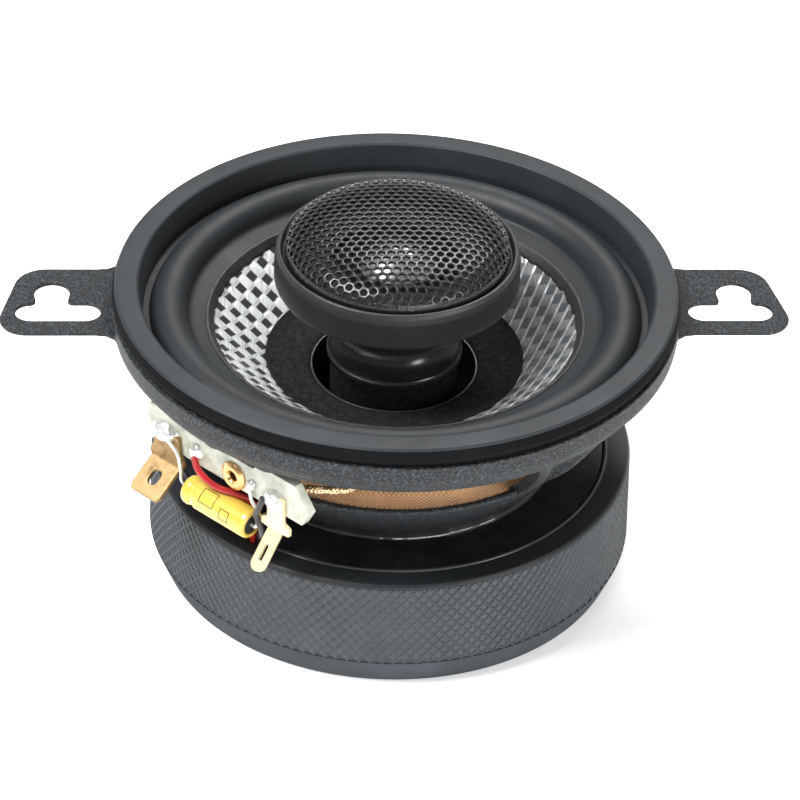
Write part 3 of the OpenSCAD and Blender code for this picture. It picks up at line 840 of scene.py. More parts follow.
def build_bowl_rings():
    """The two full rings of the basket: the lower bowl and the upper ring with its lip."""
    lower = [(17, 20.22), (25.6, 20.22), (26.9, 20.75), (34.0, 29.9), (34.8, 31.0), (34.4, 31.45),
             (33.6, 31.2),
             (33.3, 30.4), (30.5, 30.4), (30.5, 29.2), (32.1, 28.9), (26.0, 21.7), (17, 21.7)]
    upper = [(43.6, 41.95), (44.9, 44.0), (45.55, 44.6), (RIM_R, 45.6), (RIM_R, 47.9), (RIM_R - 0.2, 48.0),
             (44.35, 48.0), (44.35, 45.7), (40.0, 45.7), (40.0, 44.2), (42.9, 44.2), (42.0, 42.5)]
    bead = rounded(lower, 0.6)
    return [lathe("bowl_lower", bead, "wrinkle_coat", segments=224),
            lathe("bowl_upper", rounded(upper, [0.7, 0.8, 0.6, 0.5, 0.15, 0.1, 0.1, 0.3, 0.3, 0.4, 0.6, 0.6]),
                  "wrinkle_coat", segments=224)]


def spoke_data(centre, rows=24, columns=22):
    """One pressed spoke: a flared head, raised rolled edges and a hollow channel down its face."""
    points = []
    for k in range(rows + 1):
        t = k / rows
        z = 29.6 + (43.2 - 29.6) * t
        r = 33.4 + (44.2 - 33.4) * t
        half = radians(5.4 + 5.6 * t ** 3 + 2.2 * max(0, (0.2 - t) / 0.2) ** 2)
        swell = sin(pi * min(1, max(0, (t + 0.08) / 1.0))) if t < 0.92 else 0
        row_out, row_in = [], []
        for i in range(columns + 1):
            u = -1 + 2 * i / columns
            a = radians(centre) + half * u
            channel = max(0.0, 1 - (u / 0.62) ** 2) * sin(pi * min(1, max(0, (t - 0.1) / 0.8)))
            ridge = max(0.0, 1 - ((abs(u) - 0.8) / 0.26) ** 2)
            out = r - 0.9 * channel + 1.25 * ridge * max(0, swell)
            row_out.append((out * cos(a), out * sin(a), z))
            row_in.append(((out - 1.25) * cos(a), (out - 1.25) * sin(a), z + 0.9))
        points += row_out + row_in[::-1]
    n = 2 * (columns + 1)
    faces = band_faces(rows, n)
    for base, flip in ((0, True), (rows * n, False)):
        for i in range(columns):
            quad = [base + i, base + i + 1, base + n - 2 - i, base + n - 1 - i]
            faces.append(quad[::-1] if flip else quad)
    return points, faces


def arc(cx, cy, r, a0, a1, steps=10):
    return [(cx + r * cos(radians(a0 + (a1 - a0) * k / steps)),
             cy + r * sin(radians(a0 + (a1 - a0) * k / steps)))
            for k in range(steps + 1)]


def ear_outline():
    """The ear's edge, anticlockwise, from its near root to its far root."""
    near = [(42, -10.5), (44.4, -9.3), (45.3, -7.2), (46.6, -6.2), (48.2, -5.95)]
    far = [(48.4, 12.3), (46.6, 12.5), (45.2, 13.3), (43.8, 14.8), (42, 16.0)]
    return near + arc(59.4, -1.6, 4.35, -90, 15, 12) + arc(56.6, 7.2, 5.1, 15, 90, 10) + far


def slot_outline():
    """The slot and the branch that lets a screw's head through, clockwise."""
    w = 2.5
    branch = arc(55.5, 5.45, 2.85, 190, -10, 16)
    right = [(58.15, 3.9)] + arc(58.9, 3.3, 0.8, 180, 270, 4) + arc(58.75, 0, w, 88, -90, 12)
    left = arc(50.05, 0, w, 270, 92, 12) + arc(52.1, 3.3, 0.8, 270, 360, 4) + [(52.85, 3.9)]
    return branch + right + left


def build_ear(side):
    outline = [(side * x, y) for x, y in ear_outline()]
    hole = [(side * x, y) for x, y in slot_outline()]
    return flat_plate("ear_plate", outline, [hole], 44.9, 45.7, 0.3, "wrinkle_coat")


BOARD_ANGLE = radians(-135)
BOARD_TURN = Matrix(((-sin(BOARD_ANGLE), cos(BOARD_ANGLE), 0), (cos(BOARD_ANGLE), sin(BOARD_ANGLE), 0),
                     (0, 0, 1)))


def on_board(points):
    """Points given along the board, outwards and up, turned into the speaker's frame."""
    return [tuple(BOARD_TURN @ Vector(p)) for p in points]


def box_data(low, high, bevel=0.2):
    """A bevelled box, made as a bevelled prism."""
    (x0, y0, z0), (x1, y1, z1) = low, high
    outline = rounded([(x0, y0), (x1, y0), (x1, y1), (x0, y1)], bevel, 3)
    return prism_data(outline, z0, z1, bevel * 0.6)


def build_bracket():
    plate = box_data((-1, 36.4, 33.6), (8.5, 38.4, 42.4), 0.4)
    foot = box_data((-1, 37.4, 40.4), (8.5, 41.8, 42.4), 0.4)
    parts = [(on_board(p), [f[::-1] for f in faces]) for p, faces in (plate, foot)]
    return make_object("terminal_bracket", *joined(parts), "wrinkle_coat")


def build_basket():
    parts = build_bowl_rings()
    for a in SPOKE_ANGLES:
        spoke = make_object("spoke", *spoke_data(a), "wrinkle_coat")
        if a == BOARD_SPOKE:
            trim_spoke(spoke)
        parts.append(spoke)
    parts += [build_ear(1), build_ear(-1), build_bracket()]
    return join_objects("basket_pressing", parts)


def trim_spoke(spoke):
    """Keeps the spoke behind the terminal board."""
    for v in spoke.data.vertices:
        n = v.co.x * cos(BOARD_ANGLE) + v.co.y * sin(BOARD_ANGLE)
        over = n - 38.3 * MM
        if over > 0 and v.co.z < 40.9 * MM:
            v.co.x -= over * cos(BOARD_ANGLE)
            v.co.y -= over * sin(BOARD_ANGLE)


class SPEAKER_OT_basket(bpy.types.Operator):
    """Builds the pressed basket with its spokes, ears and bracket, and the glue under it"""

    bl_idname = "speaker.basket"
    bl_label = "Basket"

    def execute(self, context):
        finish_piece(build_basket(), "frame", "wrinkle_coat", "basket")

        def lumpy(a, r, z):
            lift = noise.noise((cos(a) * 7, sin(a) * 7, 3.0)) + 0.6 * noise.noise((cos(a) * 31, sin(a) * 31,
                                                                                   5.0))
            return (0.3 * lift * (r - 25.6) / 2, 0.45 * lift * (z - 20.2))

        bead = lathe("base_glue", rounded([(25.6, 20.2), (27.6, 20.2), (27.4, 20.65), (26.9, 21.05),
                                           (26.0, 20.8)],
                                          0.3), "glue", segments=256, wobble=lumpy)
        finish_piece(bead, "frame", "black_glue", "base_glue_bead")
        stakes = [stake_head(a) for a in (45, 135, 225, 315)]
        made = make_object("plate_stakes", *joined(stakes), "black_gloss")
        finish_piece(made, "frame", "black_plate", "basket_stakes")
        return {"FINISHED"}


def stake_head(angle, at=22, z=21.72):
    """A flattened stake head."""
    section = rounded([(0, 0), (2.1, 0), (2.05, 0.5), (1.35, 0.98), (0, 0.98)], [0, 0.1, 0.15, 0.25, 0])
    x, y = at * cos(radians(angle)), at * sin(radians(angle))
    return weld(*turned(section, 24, lambda a, r, h: (x + r * cos(a), y + r * sin(a), z + h), flip=True))[:2]


# ---------------------------------------------------------------- gasket, surround, spider


class SPEAKER_OT_gasket(bpy.types.Operator):
    """Builds the rubber gasket ring on the basket's rim"""

    bl_idname = "speaker.gasket"
    bl_label = "Gasket"

    def execute(self, context):
        section = [(40.7, 46.38), (44.3, 46.38), (44.3, 48.04), (44.95, 48.04), (45.8, 49.6),
                   (45.35, 51.0), (45.0, 51.38), (44.2, 51.4), (41.9, 51.4), (41.45, 51.15), (40.75, 47.6)]
        # Faces of the outer wall below the top take the darker copy of the rubber: painted shade.
        ring = lathe("gasket", rounded(section, [0.1, 0.1, 0.1, 0.2, 0.6, 0.35, 0.3, 0.3, 0.35, 0.3, 0.3]),
                     "gasket_rubber", "gasket_wall", segments=256,
                     mat_of=lambda a, b: int(min(a[0], b[0]) > 44.5 and max(a[1], b[1]) < 51.05))
        finish_piece(ring, "frame", "gasket_rubber", "gasket_ring")
        return {"FINISHED"}


def thin_ring(name, line, thickness, *mats, segments=224, sharp=50):
    """A sheet of even thickness turned about the axis; line is its top side as (radius, height)."""
    p = np.array(line, float)
    d = np.gradient(p, axis=0)
    d /= np.linalg.norm(d, axis=1)[:, None]
    below = p - thickness * np.stack([-d[:, 1], d[:, 0]], 1)
    return lathe(name, [tuple(q) for q in p] + [tuple(q) for q in below[::-1]], *mats, segments=segments,
                 sharp=sharp)


def surround_line():
    """The half roll's top side, from the cone outwards."""
    foot = [(30.55, 44.62), (31.5, 44.9), (32.6, 45.22), (33.3, 45.45)]
    roll = [(36.7 + 3.15 * cos(radians(a)), 45.33 + 3.15 * sin(radians(a))) for a in np.linspace(165, 15, 27)]
    blend_in = [(33.52, 45.7)]
    blend_out = [(39.95, 46.2), (40.4, 46.3)]
    return foot + blend_in + roll + blend_out + [(42, 46.33), (43.9, 46.33)]


class SPEAKER_OT_suspension(bpy.types.Operator):
    """Builds the rubber surround and the corrugated spider"""

    bl_idname = "speaker.suspension"
    bl_label = "Suspension"

    def execute(self, context):
        surround = thin_ring("surround_roll", surround_line(), 0.55, "surround_rubber", sharp=60)
        bend_piece(surround, "surround")
        rolls = sizes().spider_rolls
        line = [(13.64, 31.95), (14.4, 31.85)]
        for r in np.linspace(15.2, 29.6, 121):
            line.append((r, 31.07 + 0.75 * (1 + cos(2 * pi * rolls * (r - 15.2) / 14.4)) / 2))
        line += [(30.4, 31.06), (33.1, 31.06)]
        spider = thin_ring("spider_disc", line, 0.5, "spider_cloth", segments=180, sharp=60)
        bend_piece(spider, "spider")
        return {"FINISHED"}


# ---------------------------------------------------------------- cone


CONE_OUT = (30.3, 44.0)
CONE_IN = (20.2, 36.7)


def weave_fields(x, y):
    """For places on the cone: weave height, the dark strand's share, nearness to a crown, and the bright
    lines along the strands' edges, which the material keeps bright as a painted highlight where it paints the
    strands grey."""
    pitch, turn = sizes().strand_pitch / MM, sizes().strand_angle
    u = (x * cos(turn) + y * sin(turn)) / pitch
    v = (-x * sin(turn) + y * cos(turn)) / pitch
    iu, iv = np.floor(u), np.floor(v)
    fu, fv = np.abs(u - iu - 0.5), np.abs(v - iv - 0.5)
    under = np.mod(iu + iv, 2) > 0.5
    dark = ease((0.49 - fu) / 0.06) * ease((0.40 - fv) / 0.06) * under
    # Thin lines along the strands' edges; towards +X the material paints them as highlights.
    line = ease((fv - 0.39) / 0.05)
    light_crown = np.sqrt(np.clip(1 - (fv / 0.52) ** 2, 0, 1))
    dark_crown = np.sqrt(np.clip(1 - (fu / 0.46) ** 2, 0, 1))
    light_height = 0.35 * light_crown + 0.5 * np.cos(pi * fu) * np.where(under, -0.15, 1.0)
    dark_height = 0.3 * dark_crown - 0.15
    height = light_height * (1 - dark) + dark_height * dark
    return height, dark, light_crown * (1 - dark) + dark_crown * dark, line


def build_cone():
    """The woven cone: a fine ring grid raised by the weave, closed by a plain back."""
    rings, spokes = 74, 1200
    r = np.linspace(CONE_IN[0] - 0.05, CONE_OUT[0] + 0.15, rings)
    a = np.arange(spokes) * 2 * pi / spokes
    rr, aa = np.meshgrid(r, a, indexing="ij")
    x, y = rr * np.cos(aa), rr * np.sin(aa)
    height, which, crown, line = weave_fields(x, y)
    slope = (CONE_OUT[1] - CONE_IN[1]) / (CONE_OUT[0] - CONE_IN[0])
    z = CONE_IN[1] + slope * (rr - CONE_IN[0]) + 0.16 * (height - 0.5)
    top = np.stack([x.ravel(), y.ravel(), z.ravel()], 1)
    low_rings = [(CONE_OUT[0] + 0.15, CONE_OUT[1] - 0.38), (CONE_IN[0] - 0.05, CONE_IN[1] - 0.38)]
    low = [(q[0] * cos(t), q[0] * sin(t), q[1]) for q in low_rings for t in a]
    points = top.tolist() + low
    faces = band_faces(rings + 2, spokes, wrap=True, flip=True)
    made = make_object("woven_cone", points, faces, "woven_glass", sharp=180)
    extra = len(points) - rings * spokes
    for label, field in (("strand", which), ("crown", crown), ("line", line)):
        values = np.concatenate([field.ravel(), np.full(extra, 0.5)]).astype(np.float32)
        made.data.attributes.new(label, "FLOAT", "POINT").data.foreach_set("value", values)
    return made


class SPEAKER_OT_cone(bpy.types.Operator):
    """Builds the woven cone, its collar and glue, and finishes the coil and former"""

    bl_idname = "speaker.cone"
    bl_label = "Cone"

    def execute(self, context):
        flange = lathe("cone_flange", [(30.4, 44.02), (33, 44.7), (33, 44.35), (30.5, 43.6)], "collar_felt")
        cone = join_objects("woven_cone", [build_cone(), flange])
        finish_piece(cone, "cone_assembly", "woven_cone", "cone")

        def ragged(a, r, z):
            lift = noise.noise((cos(a) * 26, sin(a) * 26, 1.5)) + 0.5 * noise.noise((cos(a) * 90, sin(a) * 90,
                                                                                     4))
            return (0.28 * lift if r < 29.9 else 0, 0.1 * lift)

        glue = lathe("cone_glue", rounded([(29.2, 43.2), (30.55, 44.15), (30.75, 44.85), (30.2, 44.75),
                                           (29.35, 43.75)],
                                          0.2), "cone_glue", segments=400, wobble=ragged, sharp=60)
        finish_piece(glue, "cone_assembly", "black_glue", "cone_glue_ring")
        collar = thin_ring("collar",
                           [(13.66, 35.1), (13.85, 35.42), (14.6, 35.6), (16.5, 35.86), (18.6, 36.3),
                                      (19.8, 36.78), (20.6, 37.34), (20.85, 37.5)], 0.3, "collar_felt",
                           sharp=60)
        finish_piece(collar, "cone_assembly", "collar_felt", "cone_collar")
        former = lathe("former_tube", rounded([(13.3, 13.4), (13.6, 13.4), (13.6, 35.5), (13.3, 35.5)], 0.08),
                       "former_foil", segments=192)
        finish_piece(former, "cone_assembly", "former_foil", "coil_former")
        turns = []
        for k in range(32):
            z = 14.35 + 7.7 * k / 31
            turns += [(14.02, z - 0.12), (14.18, z)]
        coil = lathe("coil_winding", [(13.62, 14.22)] + turns + [(14.02, 22.18), (13.62, 22.18)],
                     "copper_wire",
                     segments=96)
        finish_piece(coil, "cone_assembly", "copper_wire", "voice_coil")
        return {"FINISHED"}


# ---------------------------------------------------------------- tweeter


GRILLE_R = 18.2
GRILLE_BASE = 57.15
GRILLE_RISE = 5.6
GRILLE_POWER = 2.78


def grille_height(share):
    """Height of the grille over its base, for a radius given as a share of the whole."""
    return (1 - np.clip(share, 0, 1) ** GRILLE_POWER) ** (1 / GRILLE_POWER)


def grille_arc():
    """Length of sheet from the crown outwards, against the radius share it reaches."""
    t = np.linspace(0, pi / 2, 400)
    r = np.sin(t) ** (2 / GRILLE_POWER)
    z = grille_height(r)
    step = np.hypot(np.diff(r) * GRILLE_R, np.diff(z) * GRILLE_RISE)
    return np.concatenate([[0], np.cumsum(step)]), r


def grille_cell(pitch, hole, thickness):
    """A closed hexagonal tile of sheet with a rounded hole through it."""
    corner = pitch / math.sqrt(3)
    steps = 12
    points = []
    levels = [(True, corner, -thickness), (True, corner, 0.0), (False, hole + 0.10, 0.0),
              (False, hole + 0.03, -0.04), (False, hole, -0.12), (False, hole, -thickness)]
    for hexagonal, radius, z in levels:
        for k in range(steps):
            a = 2 * pi * k / steps + pi / 6
            reach = radius * cos(pi / 6) if hexagonal and k % 2 else radius
            points.append((reach * cos(a), reach * sin(a), z))
    return points, band_faces(len(levels), steps, wrap=True)


def grille_tree(lattice, radius_curve):
    """Repeats the input tile on a hexagonal lattice, then presses the sheet into a dome."""
    g = Geo("grille_dome", Pitch="Float", Sheet_Radius="Float", Perforated_Radius="Float",
            Dome_Radius="Float",
            Rise="Float", Base="Float", Power="Float", Material="Material")
    calc, src = g.math, g.inputs
    side = 2 * lattice + 1
    row = calc("SUBTRACT", calc("FLOOR", calc("DIVIDE", g.index(), float(side))), float(lattice))
    column = calc("SUBTRACT", calc("MODULO", g.index(), float(side)), float(lattice))
    shift = calc("MULTIPLY", calc("ABSOLUTE", calc("MODULO", row, 2.0)), 0.5)
    x = calc("MULTIPLY", calc("ADD", column, shift), src["Pitch"])
    y = calc("MULTIPLY", calc("MULTIPLY", row, math.sqrt(3) / 2), src["Pitch"])
    reach = g.node("ShaderNodeVectorMath", {0: g.position()}, operation="LENGTH").outputs["Value"]
    inside = g.make("FunctionNodeCompare", {0: reach, 1: src["Perforated Radius"]}, operation="LESS_THAN")
    tiles = g.scatter(side * side, g.vector(x, y, 0.0), inside)
    px, py, pz = g.split(g.position())
    flat = calc("SQRT", calc("ADD", calc("MULTIPLY", px, px), calc("MULTIPLY", py, py)))
    curve = g.node("ShaderNodeFloatCurve", {"Value": calc("DIVIDE", flat, src["Sheet Radius"])})
    table = curve.mapping.curves[0]
    for i, place in enumerate(radius_curve):
        if i < 2:
            table.points[i].location = place
        else:
            table.points.new(*place)
    curve.mapping.update()
    share = calc("MINIMUM", curve.outputs[0], 0.9995)
    dome = calc("POWER", calc("SUBTRACT", 1.0, calc("POWER", share, src["Power"])),
                calc("DIVIDE", 1.0, src["Power"]))
    edge = calc("ADD", src["Dome Radius"], calc("MULTIPLY", pz, calc("POWER", share, 3.0)))
    scale = calc("MULTIPLY", share, calc("DIVIDE", edge, calc("MAXIMUM", flat, 1e-6)))
    rise = calc("ADD", calc("MULTIPLY", dome, src["Rise"]), calc("MULTIPLY", pz, calc("SQRT", dome)))
    return g.end(g.move(tiles, g.vector(
        calc("MULTIPLY", px, scale), calc("MULTIPLY", py, scale), calc("ADD", src["Base"], rise))))


def build_grille():
    s = sizes()
    arc_length, share = grille_arc()
    whole = arc_length[-1]
    places = np.concatenate([[0.0, 1.0], np.linspace(0.08, 0.98, 22)])
    curve = [(float(t), float(np.interp(t * whole, arc_length, share))) for t in places]
    tile = make_object("grille_perforations", *grille_cell(s.hole_pitch / MM, s.hole_radius / MM, 0.45),
                       flat=True)
    perforated = whole - 1.7
    apply_nodes(tile, grille_tree(15, curve), {
        "Pitch": s.hole_pitch, "Sheet Radius": whole * MM, "Perforated Radius": perforated * MM,
        "Dome Radius": GRILLE_R * MM, "Rise": GRILLE_RISE * MM, "Base": GRILLE_BASE * MM,
        "Power": GRILLE_POWER,
        "Material": material("grille_steel")})
    tile.data.shade_smooth()
    tile.data.set_sharp_from_angle(angle=radians(50))
    line = []
    for t in np.linspace(whole - 1.95, whole, 16):
        q = float(np.interp(t, arc_length, share))
        line.append((GRILLE_R * q - 0.03, GRILLE_BASE - 0.03 + GRILLE_RISE * float(grille_height(q))))
    line[-1] = (GRILLE_R, GRILLE_BASE)
    skirt = thin_ring("grille_skirt", line[::-1], -0.4, "grille_steel", segments=192, sharp=60)
    return join_objects("grille_mesh", [tile, skirt])


def build_post():
    section = [(0, 20.25), (10.4, 20.25), (10.4, 37.4), (11.1, 38.2), (11.1, 39.0), (10.85, 39.3),
               (10.3, 39.25)]
    neck = [(10.75 + 3.15 * cos(radians(a)), 42.5 + 3.1 * sin(radians(a))) for a in np.linspace(262, 182, 10)]
    throat = [(10.75 + 3.15 * cos(radians(a)), 43.3 + 3.1 * sin(radians(a)))
              for a in np.linspace(178, 106, 10)]
    # Below the flange the post takes the black felt finish in place of its plastic: painted shade for the
    # dark gap inside the collar.
    return lathe("post_body", section + neck + throat + [(0, 46.3)], "post_plastic", "collar_felt",
                 segments=160,
                 sharp=50, mat_of=lambda a, b: int(min(a[1], b[1]) < 38))


def build_housing():
    section = [(0, 46.32), (9.85, 46.32), (10.6, 49.4), (15.5, 50.3), (18.5, 51.1), (19.35, 51.75),
               (19.78, 52.7),
               (19.72, 56.4), (19.55, 57.4), (19.25, 58.05), (18.85, 58.1), (18.5, 57.75), (18.42, 57.08),
               (17.2, 57.08),
               (17.2, 54.42), (8.76, 54.42), (8.76, 48.1), (0, 48.1)]
    radii = [0, 0.4, 1.0, 1.5, 1.0, 0.8, 1.0, 1.0, 0.5, 0.25, 0.2, 0.2, 0.1, 0.1, 0.1, 0.1, 0.1, 0]
    return lathe("housing_cup", rounded(section, radii), "tweeter_plastic", segments=224)


def build_dome():
    ball, rim = 8.2, 6.6
    drop = math.sqrt(ball * ball - rim * rim)
    edge = math.asin(rim / ball)
    line = [(ball * sin(edge * k / 24), 55.2 - drop + ball * cos(edge * k / 24)) for k in range(25)]
    line += [(7.7 + 0.75 * cos(radians(a)), 55.28 + 0.75 * sin(radians(a))) for a in np.linspace(165, 12, 12)]
    line += [(8.9, 55.25), (9.7, 55.25)]
    line = line[::-1]
    p = np.array(line)
    back = [(x, z - 0.15) for x, z in p]
    return lathe("dome_shell", [tuple(q) for q in p] + back[::-1], "dome_foil", "collar_felt", segments=128,
                 sharp=60, mat_of=lambda a, b: int(max(a[0], b[0]) > rim + 0.05))


class SPEAKER_OT_tweeter(bpy.types.Operator):
    """Builds the tweeter's post, housing, dome and perforated grille, and finishes its motor"""

    bl_idname = "speaker.tweeter"
    bl_label = "Tweeter"

    def execute(self, context):
        finish_piece(build_post(), "frame", "tweeter_plastic", "tweeter_post")
        finish_piece(build_housing(), "frame", "tweeter_plastic", "tweeter_housing")
        finish_piece(build_grille(), "frame", "grille_steel", "tweeter_grille")
        finish_piece(build_dome(), "tweeter_diaphragm", "dome_film", "tweeter_dome")
        ring = lathe("clamp_ring",
                     rounded([(10.2, 54.45), (17.1, 54.45), (17.1, 56.2), (12.5, 56.2), (10.2, 55.9)], 0.3),
                     "tweeter_plastic", segments=128)
        finish_piece(ring, "frame", "tweeter_plastic", "tweeter_clamp_ring")
        for node in ("tweeter_yoke", "tweeter_magnet", "tweeter_pole_piece"):
            paint(node, "plated_steel")
        paint("tweeter_coil", "copper_wire")
        paint("tweeter_damping_pad", "collar_felt")
        return {"FINISHED"}


# ---------------------------------------------------------------- terminals


BOARD_N = 40.0
BOARD_T = 1.6
EYELET_PLACE = (2.8, 35.4)


def upright_plate(name, outline, holes, inner, outer, bevel, *mats):
    """A plate standing on the board's axes: outline in (along, up), thickness outwards."""
    made = flat_plate(name, outline, holes, inner, outer, bevel, *mats)
    stand = Matrix(((1, 0, 0), (0, 0, 1), (0, 1, 0)))
    made.data.transform((BOARD_TURN @ stand).to_4x4())
    tidy_mesh(made)
    return made


def circle(cx, cy, r, steps=24):
    return [(cx + r * cos(-2 * pi * k / steps), cy + r * sin(-2 * pi * k / steps)) for k in range(steps)]


def build_board():
    outline = rounded([(-16.5, 34.3), (-15.5, 33.3), (17.4, 33.3), (18.9, 36.2), (15.8, 40.1), (-15.9, 40.1),
                       (-16.5, 39.5)], 0.35, 3)
    return upright_plate("board_plate", outline, [circle(*EYELET_PLACE, 1.25)], BOARD_N - BOARD_T, BOARD_N,
                         0.12,
                         "fibre_board")


def blade_sheet(name, outline, holes, bend_z, lean, mat):
    """A sheet terminal cut flat, then bent outwards below bend_z about the board's long axis."""
    made = flat_plate(name, outline, holes, 0, 0.8, 0.1, mat)
    work = bmesh.new()
    work.from_mesh(made.data)
    for step in np.linspace(-1.3, 0.9, 8):
        bmesh.ops.bisect_plane(work, geom=work.verts[:] + work.edges[:] + work.faces[:],
                               plane_co=(0, (bend_z + step) * MM, 0), plane_no=(0, 1, 0))
    work.to_mesh(made.data)
    work.free()
    radius, turn = 1.4, radians(lean)
    reach = radius * turn
    for v in made.data.vertices:
        s, z, n = v.co.x / MM, v.co.y / MM, v.co.z / MM
        below = bend_z + reach / 2 - z
        if below > 0:
            a = min(below / radius, turn)
            rest = max(0.0, below - reach)
            top = bend_z + reach / 2
            out = radius - (radius - n) * cos(a) + rest * sin(a)
            z = top - (radius - n) * sin(a) - rest * cos(a)
            n = out
        v.co = BOARD_TURN @ Vector((s * MM, (BOARD_N + 0.02 + n) * MM, z * MM))
    tidy_mesh(made)
    return made


def build_positive():
    s, w, z0 = -11.45, 3.15, 23.9
    outline = rounded([(s - w + 0.5, z0), (s + w - 0.5, z0), (s + w, z0 + 0.9), (s + w, 30.9),
                       (s + 3.65, 31.1), (s + 3.65, 32.3),
                       (s + 2.9, 33.4), (s + 2.6, 36.6), (s - 2.8, 36.6), (s - 2.9, 33.4), (s - 3.65, 32.3),
                       (s - 3.65, 31.1), (s - w, 30.9), (s - w, z0 + 0.9)], 0.3, 3)
    hole = arc(s, 27.75, 0.95, 180, 0, 10) + arc(s, 26.9, 0.95, 0, -180, 10)
    return blade_sheet("blade_6mm", outline, [hole], 31.0, 54, "brass")


def build_negative():
    s, w = 12.35, 1.4
    outline = rounded([(s + w, 29.8), (s + 3.0, 30.2), (s + 3.0, 31.6), (s + 1.7, 32.2), (s + 1.7, 36.6),
                       (s - 1.7, 36.6), (s - 1.7, 32.2), (s - 3.0, 31.6), (s - 3.0, 30.2), (s - w, 29.8)],
                      0.25, 3)
    tip = arc(s, 24.0, w, 180, 360, 12)
    hole = [(s - 0.4, 27.2), (s + 0.4, 27.2), (s + 0.4, 24.4), (s - 0.4, 24.4)]
    return blade_sheet("blade_3mm", outline + tip, [rounded(hole, 0.35, 3)], 30.0, 39, "pale_brass")


def build_eyelet():
    section = rounded([(0.85, 36.3), (1.2, 36.3), (1.22, 40.02), (2.5, 40.02), (2.45, 40.4), (1.8, 40.78),
                       (1.15, 40.72), (0.85, 40.2)], [0.1, 0.1, 0, 0.1, 0.25, 0.35, 0.3, 0.3])
    s, z = EYELET_PLACE
    points, faces = turned(section, 40, lambda a, r, n: (s + r * cos(a), n, z + r * sin(a)))
    made = make_object("eyelet", on_board(points), faces, "copper_eyelet")
    tidy_mesh(made)
    return made


def blob(s, z, radius, height, seed, squash=1.0, tall=1.0):
    """A solder joint: a flattened drop with uneven shoulders."""
    rings, steps = 12, 28
    points = []
    for k in range(rings + 1):
        up = sin(pi / 2 * k / rings)
        wide = cos(pi / 2 * k / rings) ** 0.75
        for i in range(steps):
            a = 2 * pi * i / steps
            lump = 1 + 0.16 * noise.noise((cos(a) * 1.3 + seed, sin(a) * 1.3, up * 1.6 + seed))
            points.append((s + radius * wide * lump * cos(a) * squash, BOARD_N + 0.02 + height * up * lump,
                           z + radius * wide * lump * sin(a) * tall))
    return on_board(points), band_faces(rings, steps) + [list(range(steps))[::-1]]


class SPEAKER_OT_terminals(bpy.types.Operator):
    """Builds the terminal board, its two blades, the eyelet and the solder"""

    bl_idname = "speaker.terminals"
    bl_label = "Terminals"

    def execute(self, context):
        finish_piece(build_board(), "frame", "fibre_board", "terminal_board")
        finish_piece(build_positive(), "frame", "terminal_brass", "positive_terminal")
        finish_piece(build_negative(), "frame", "terminal_pale_brass", "negative_terminal")
        finish_piece(build_eyelet(), "frame", "terminal_brass", "board_eyelet")
        drops = [blob(-12.3, 36.2, 2.2, 1.55, 1.0, 1.3, 0.85), blob(-5.4, 35.6, 1.35, 1.1, 2.0, 1.1, 1.15),
                 blob(11.9, 35.3, 1.9, 1.5, 3.0, 1.1, 1.0), blob(6.7, 35.7, 0.9, 0.8, 4.0)]
        solder = make_object("solder_drops", *joined(drops), "solder", sharp=70)
        tidy_mesh(solder, sharp=70)
        finish_piece(solder, "frame", "solder", "solder_joints")
        return {"FINISHED"}


# ---------------------------------------------------------------- crossover and wiring


CAP_N, CAP_Z, CAP_S0, CAP_S1, CAP_R = 40.6, 28.4, -6.4, 7.4, 2.5


def build_capacitor():
    """The can in its sleeve, turned about an axis that lies along the board."""
    length = CAP_S1 - CAP_S0
    section = [(0, 0.25), (1.55, 0.25), (1.7, 0.0), (2.25, 0.05), (2.45, 0.5), (2.5, 1.1), (2.3, 1.7),
               (2.12, 2.0), (2.3, 2.3),
               (2.5, 2.9), (2.5, length - 0.8), (2.42, length - 0.25), (2.1, length), (1.75, length - 0.02),
               (1.6, length - 0.3), (0, length - 0.3)]
    radii = [0, 0.1, 0.15, 0.3, 0.3, 0.3, 0.3, 0.2, 0.3, 0.3, 0.3, 0.3, 0.2, 0.1, 0.1, 0]

    section, steps = rounded(section, radii), 48
    points, faces = turned(section, steps, lambda a, r,
                           s: (CAP_S0 + s, CAP_N + r * cos(a), CAP_Z + r * sin(a)))
    kinds = section_kinds(section, steps, lambda a, b: int(max(a[0], b[0]) < 1.68))
    can = make_object("capacitor_can", on_board(points), faces, "capacitor_sleeve", "capacitor_seal",
                      face_mats=kinds)
    tidy_mesh(can, sharp=45)
    return can


def printed_frame(s0, s1, a0, a1, width=0.13):
    """A thin printed outline on the sleeve, as four narrow bands just proud of it."""
    parts = []
    for lo_s, hi_s, lo_a, hi_a in ((s0, s1, a0, a0 + 3), (s0, s1, a1 - 3, a1), (s0, s0 + width, a0, a1),
                                   (s1 - width, s1, a0, a1)):
        steps = max(2, int((hi_a - lo_a) / 4))
        points, faces = [], []
        for k in range(steps + 1):
            a = radians(lo_a + (hi_a - lo_a) * k / steps)
            for s in (lo_s, hi_s):
                for r in (CAP_R + 0.015, CAP_R - 0.03):
                    points.append((CAP_S0 + s, CAP_N + r * cos(a), CAP_Z + r * sin(a)))
        for k in range(steps):
            b, t = 4 * k, 4 * k + 4
            faces += [[b, b + 2, t + 2, t], [b + 1, t + 1, t + 3, b + 3], [b, t, t + 1, b + 1],
                      [b + 2, b + 3, t + 3, t + 2]]
        faces += [[0, 1, 3, 2], [4 * steps, 4 * steps + 2, 4 * steps + 3, 4 * steps + 1]]
        parts.append((on_board(points), faces))
    return joined(parts)


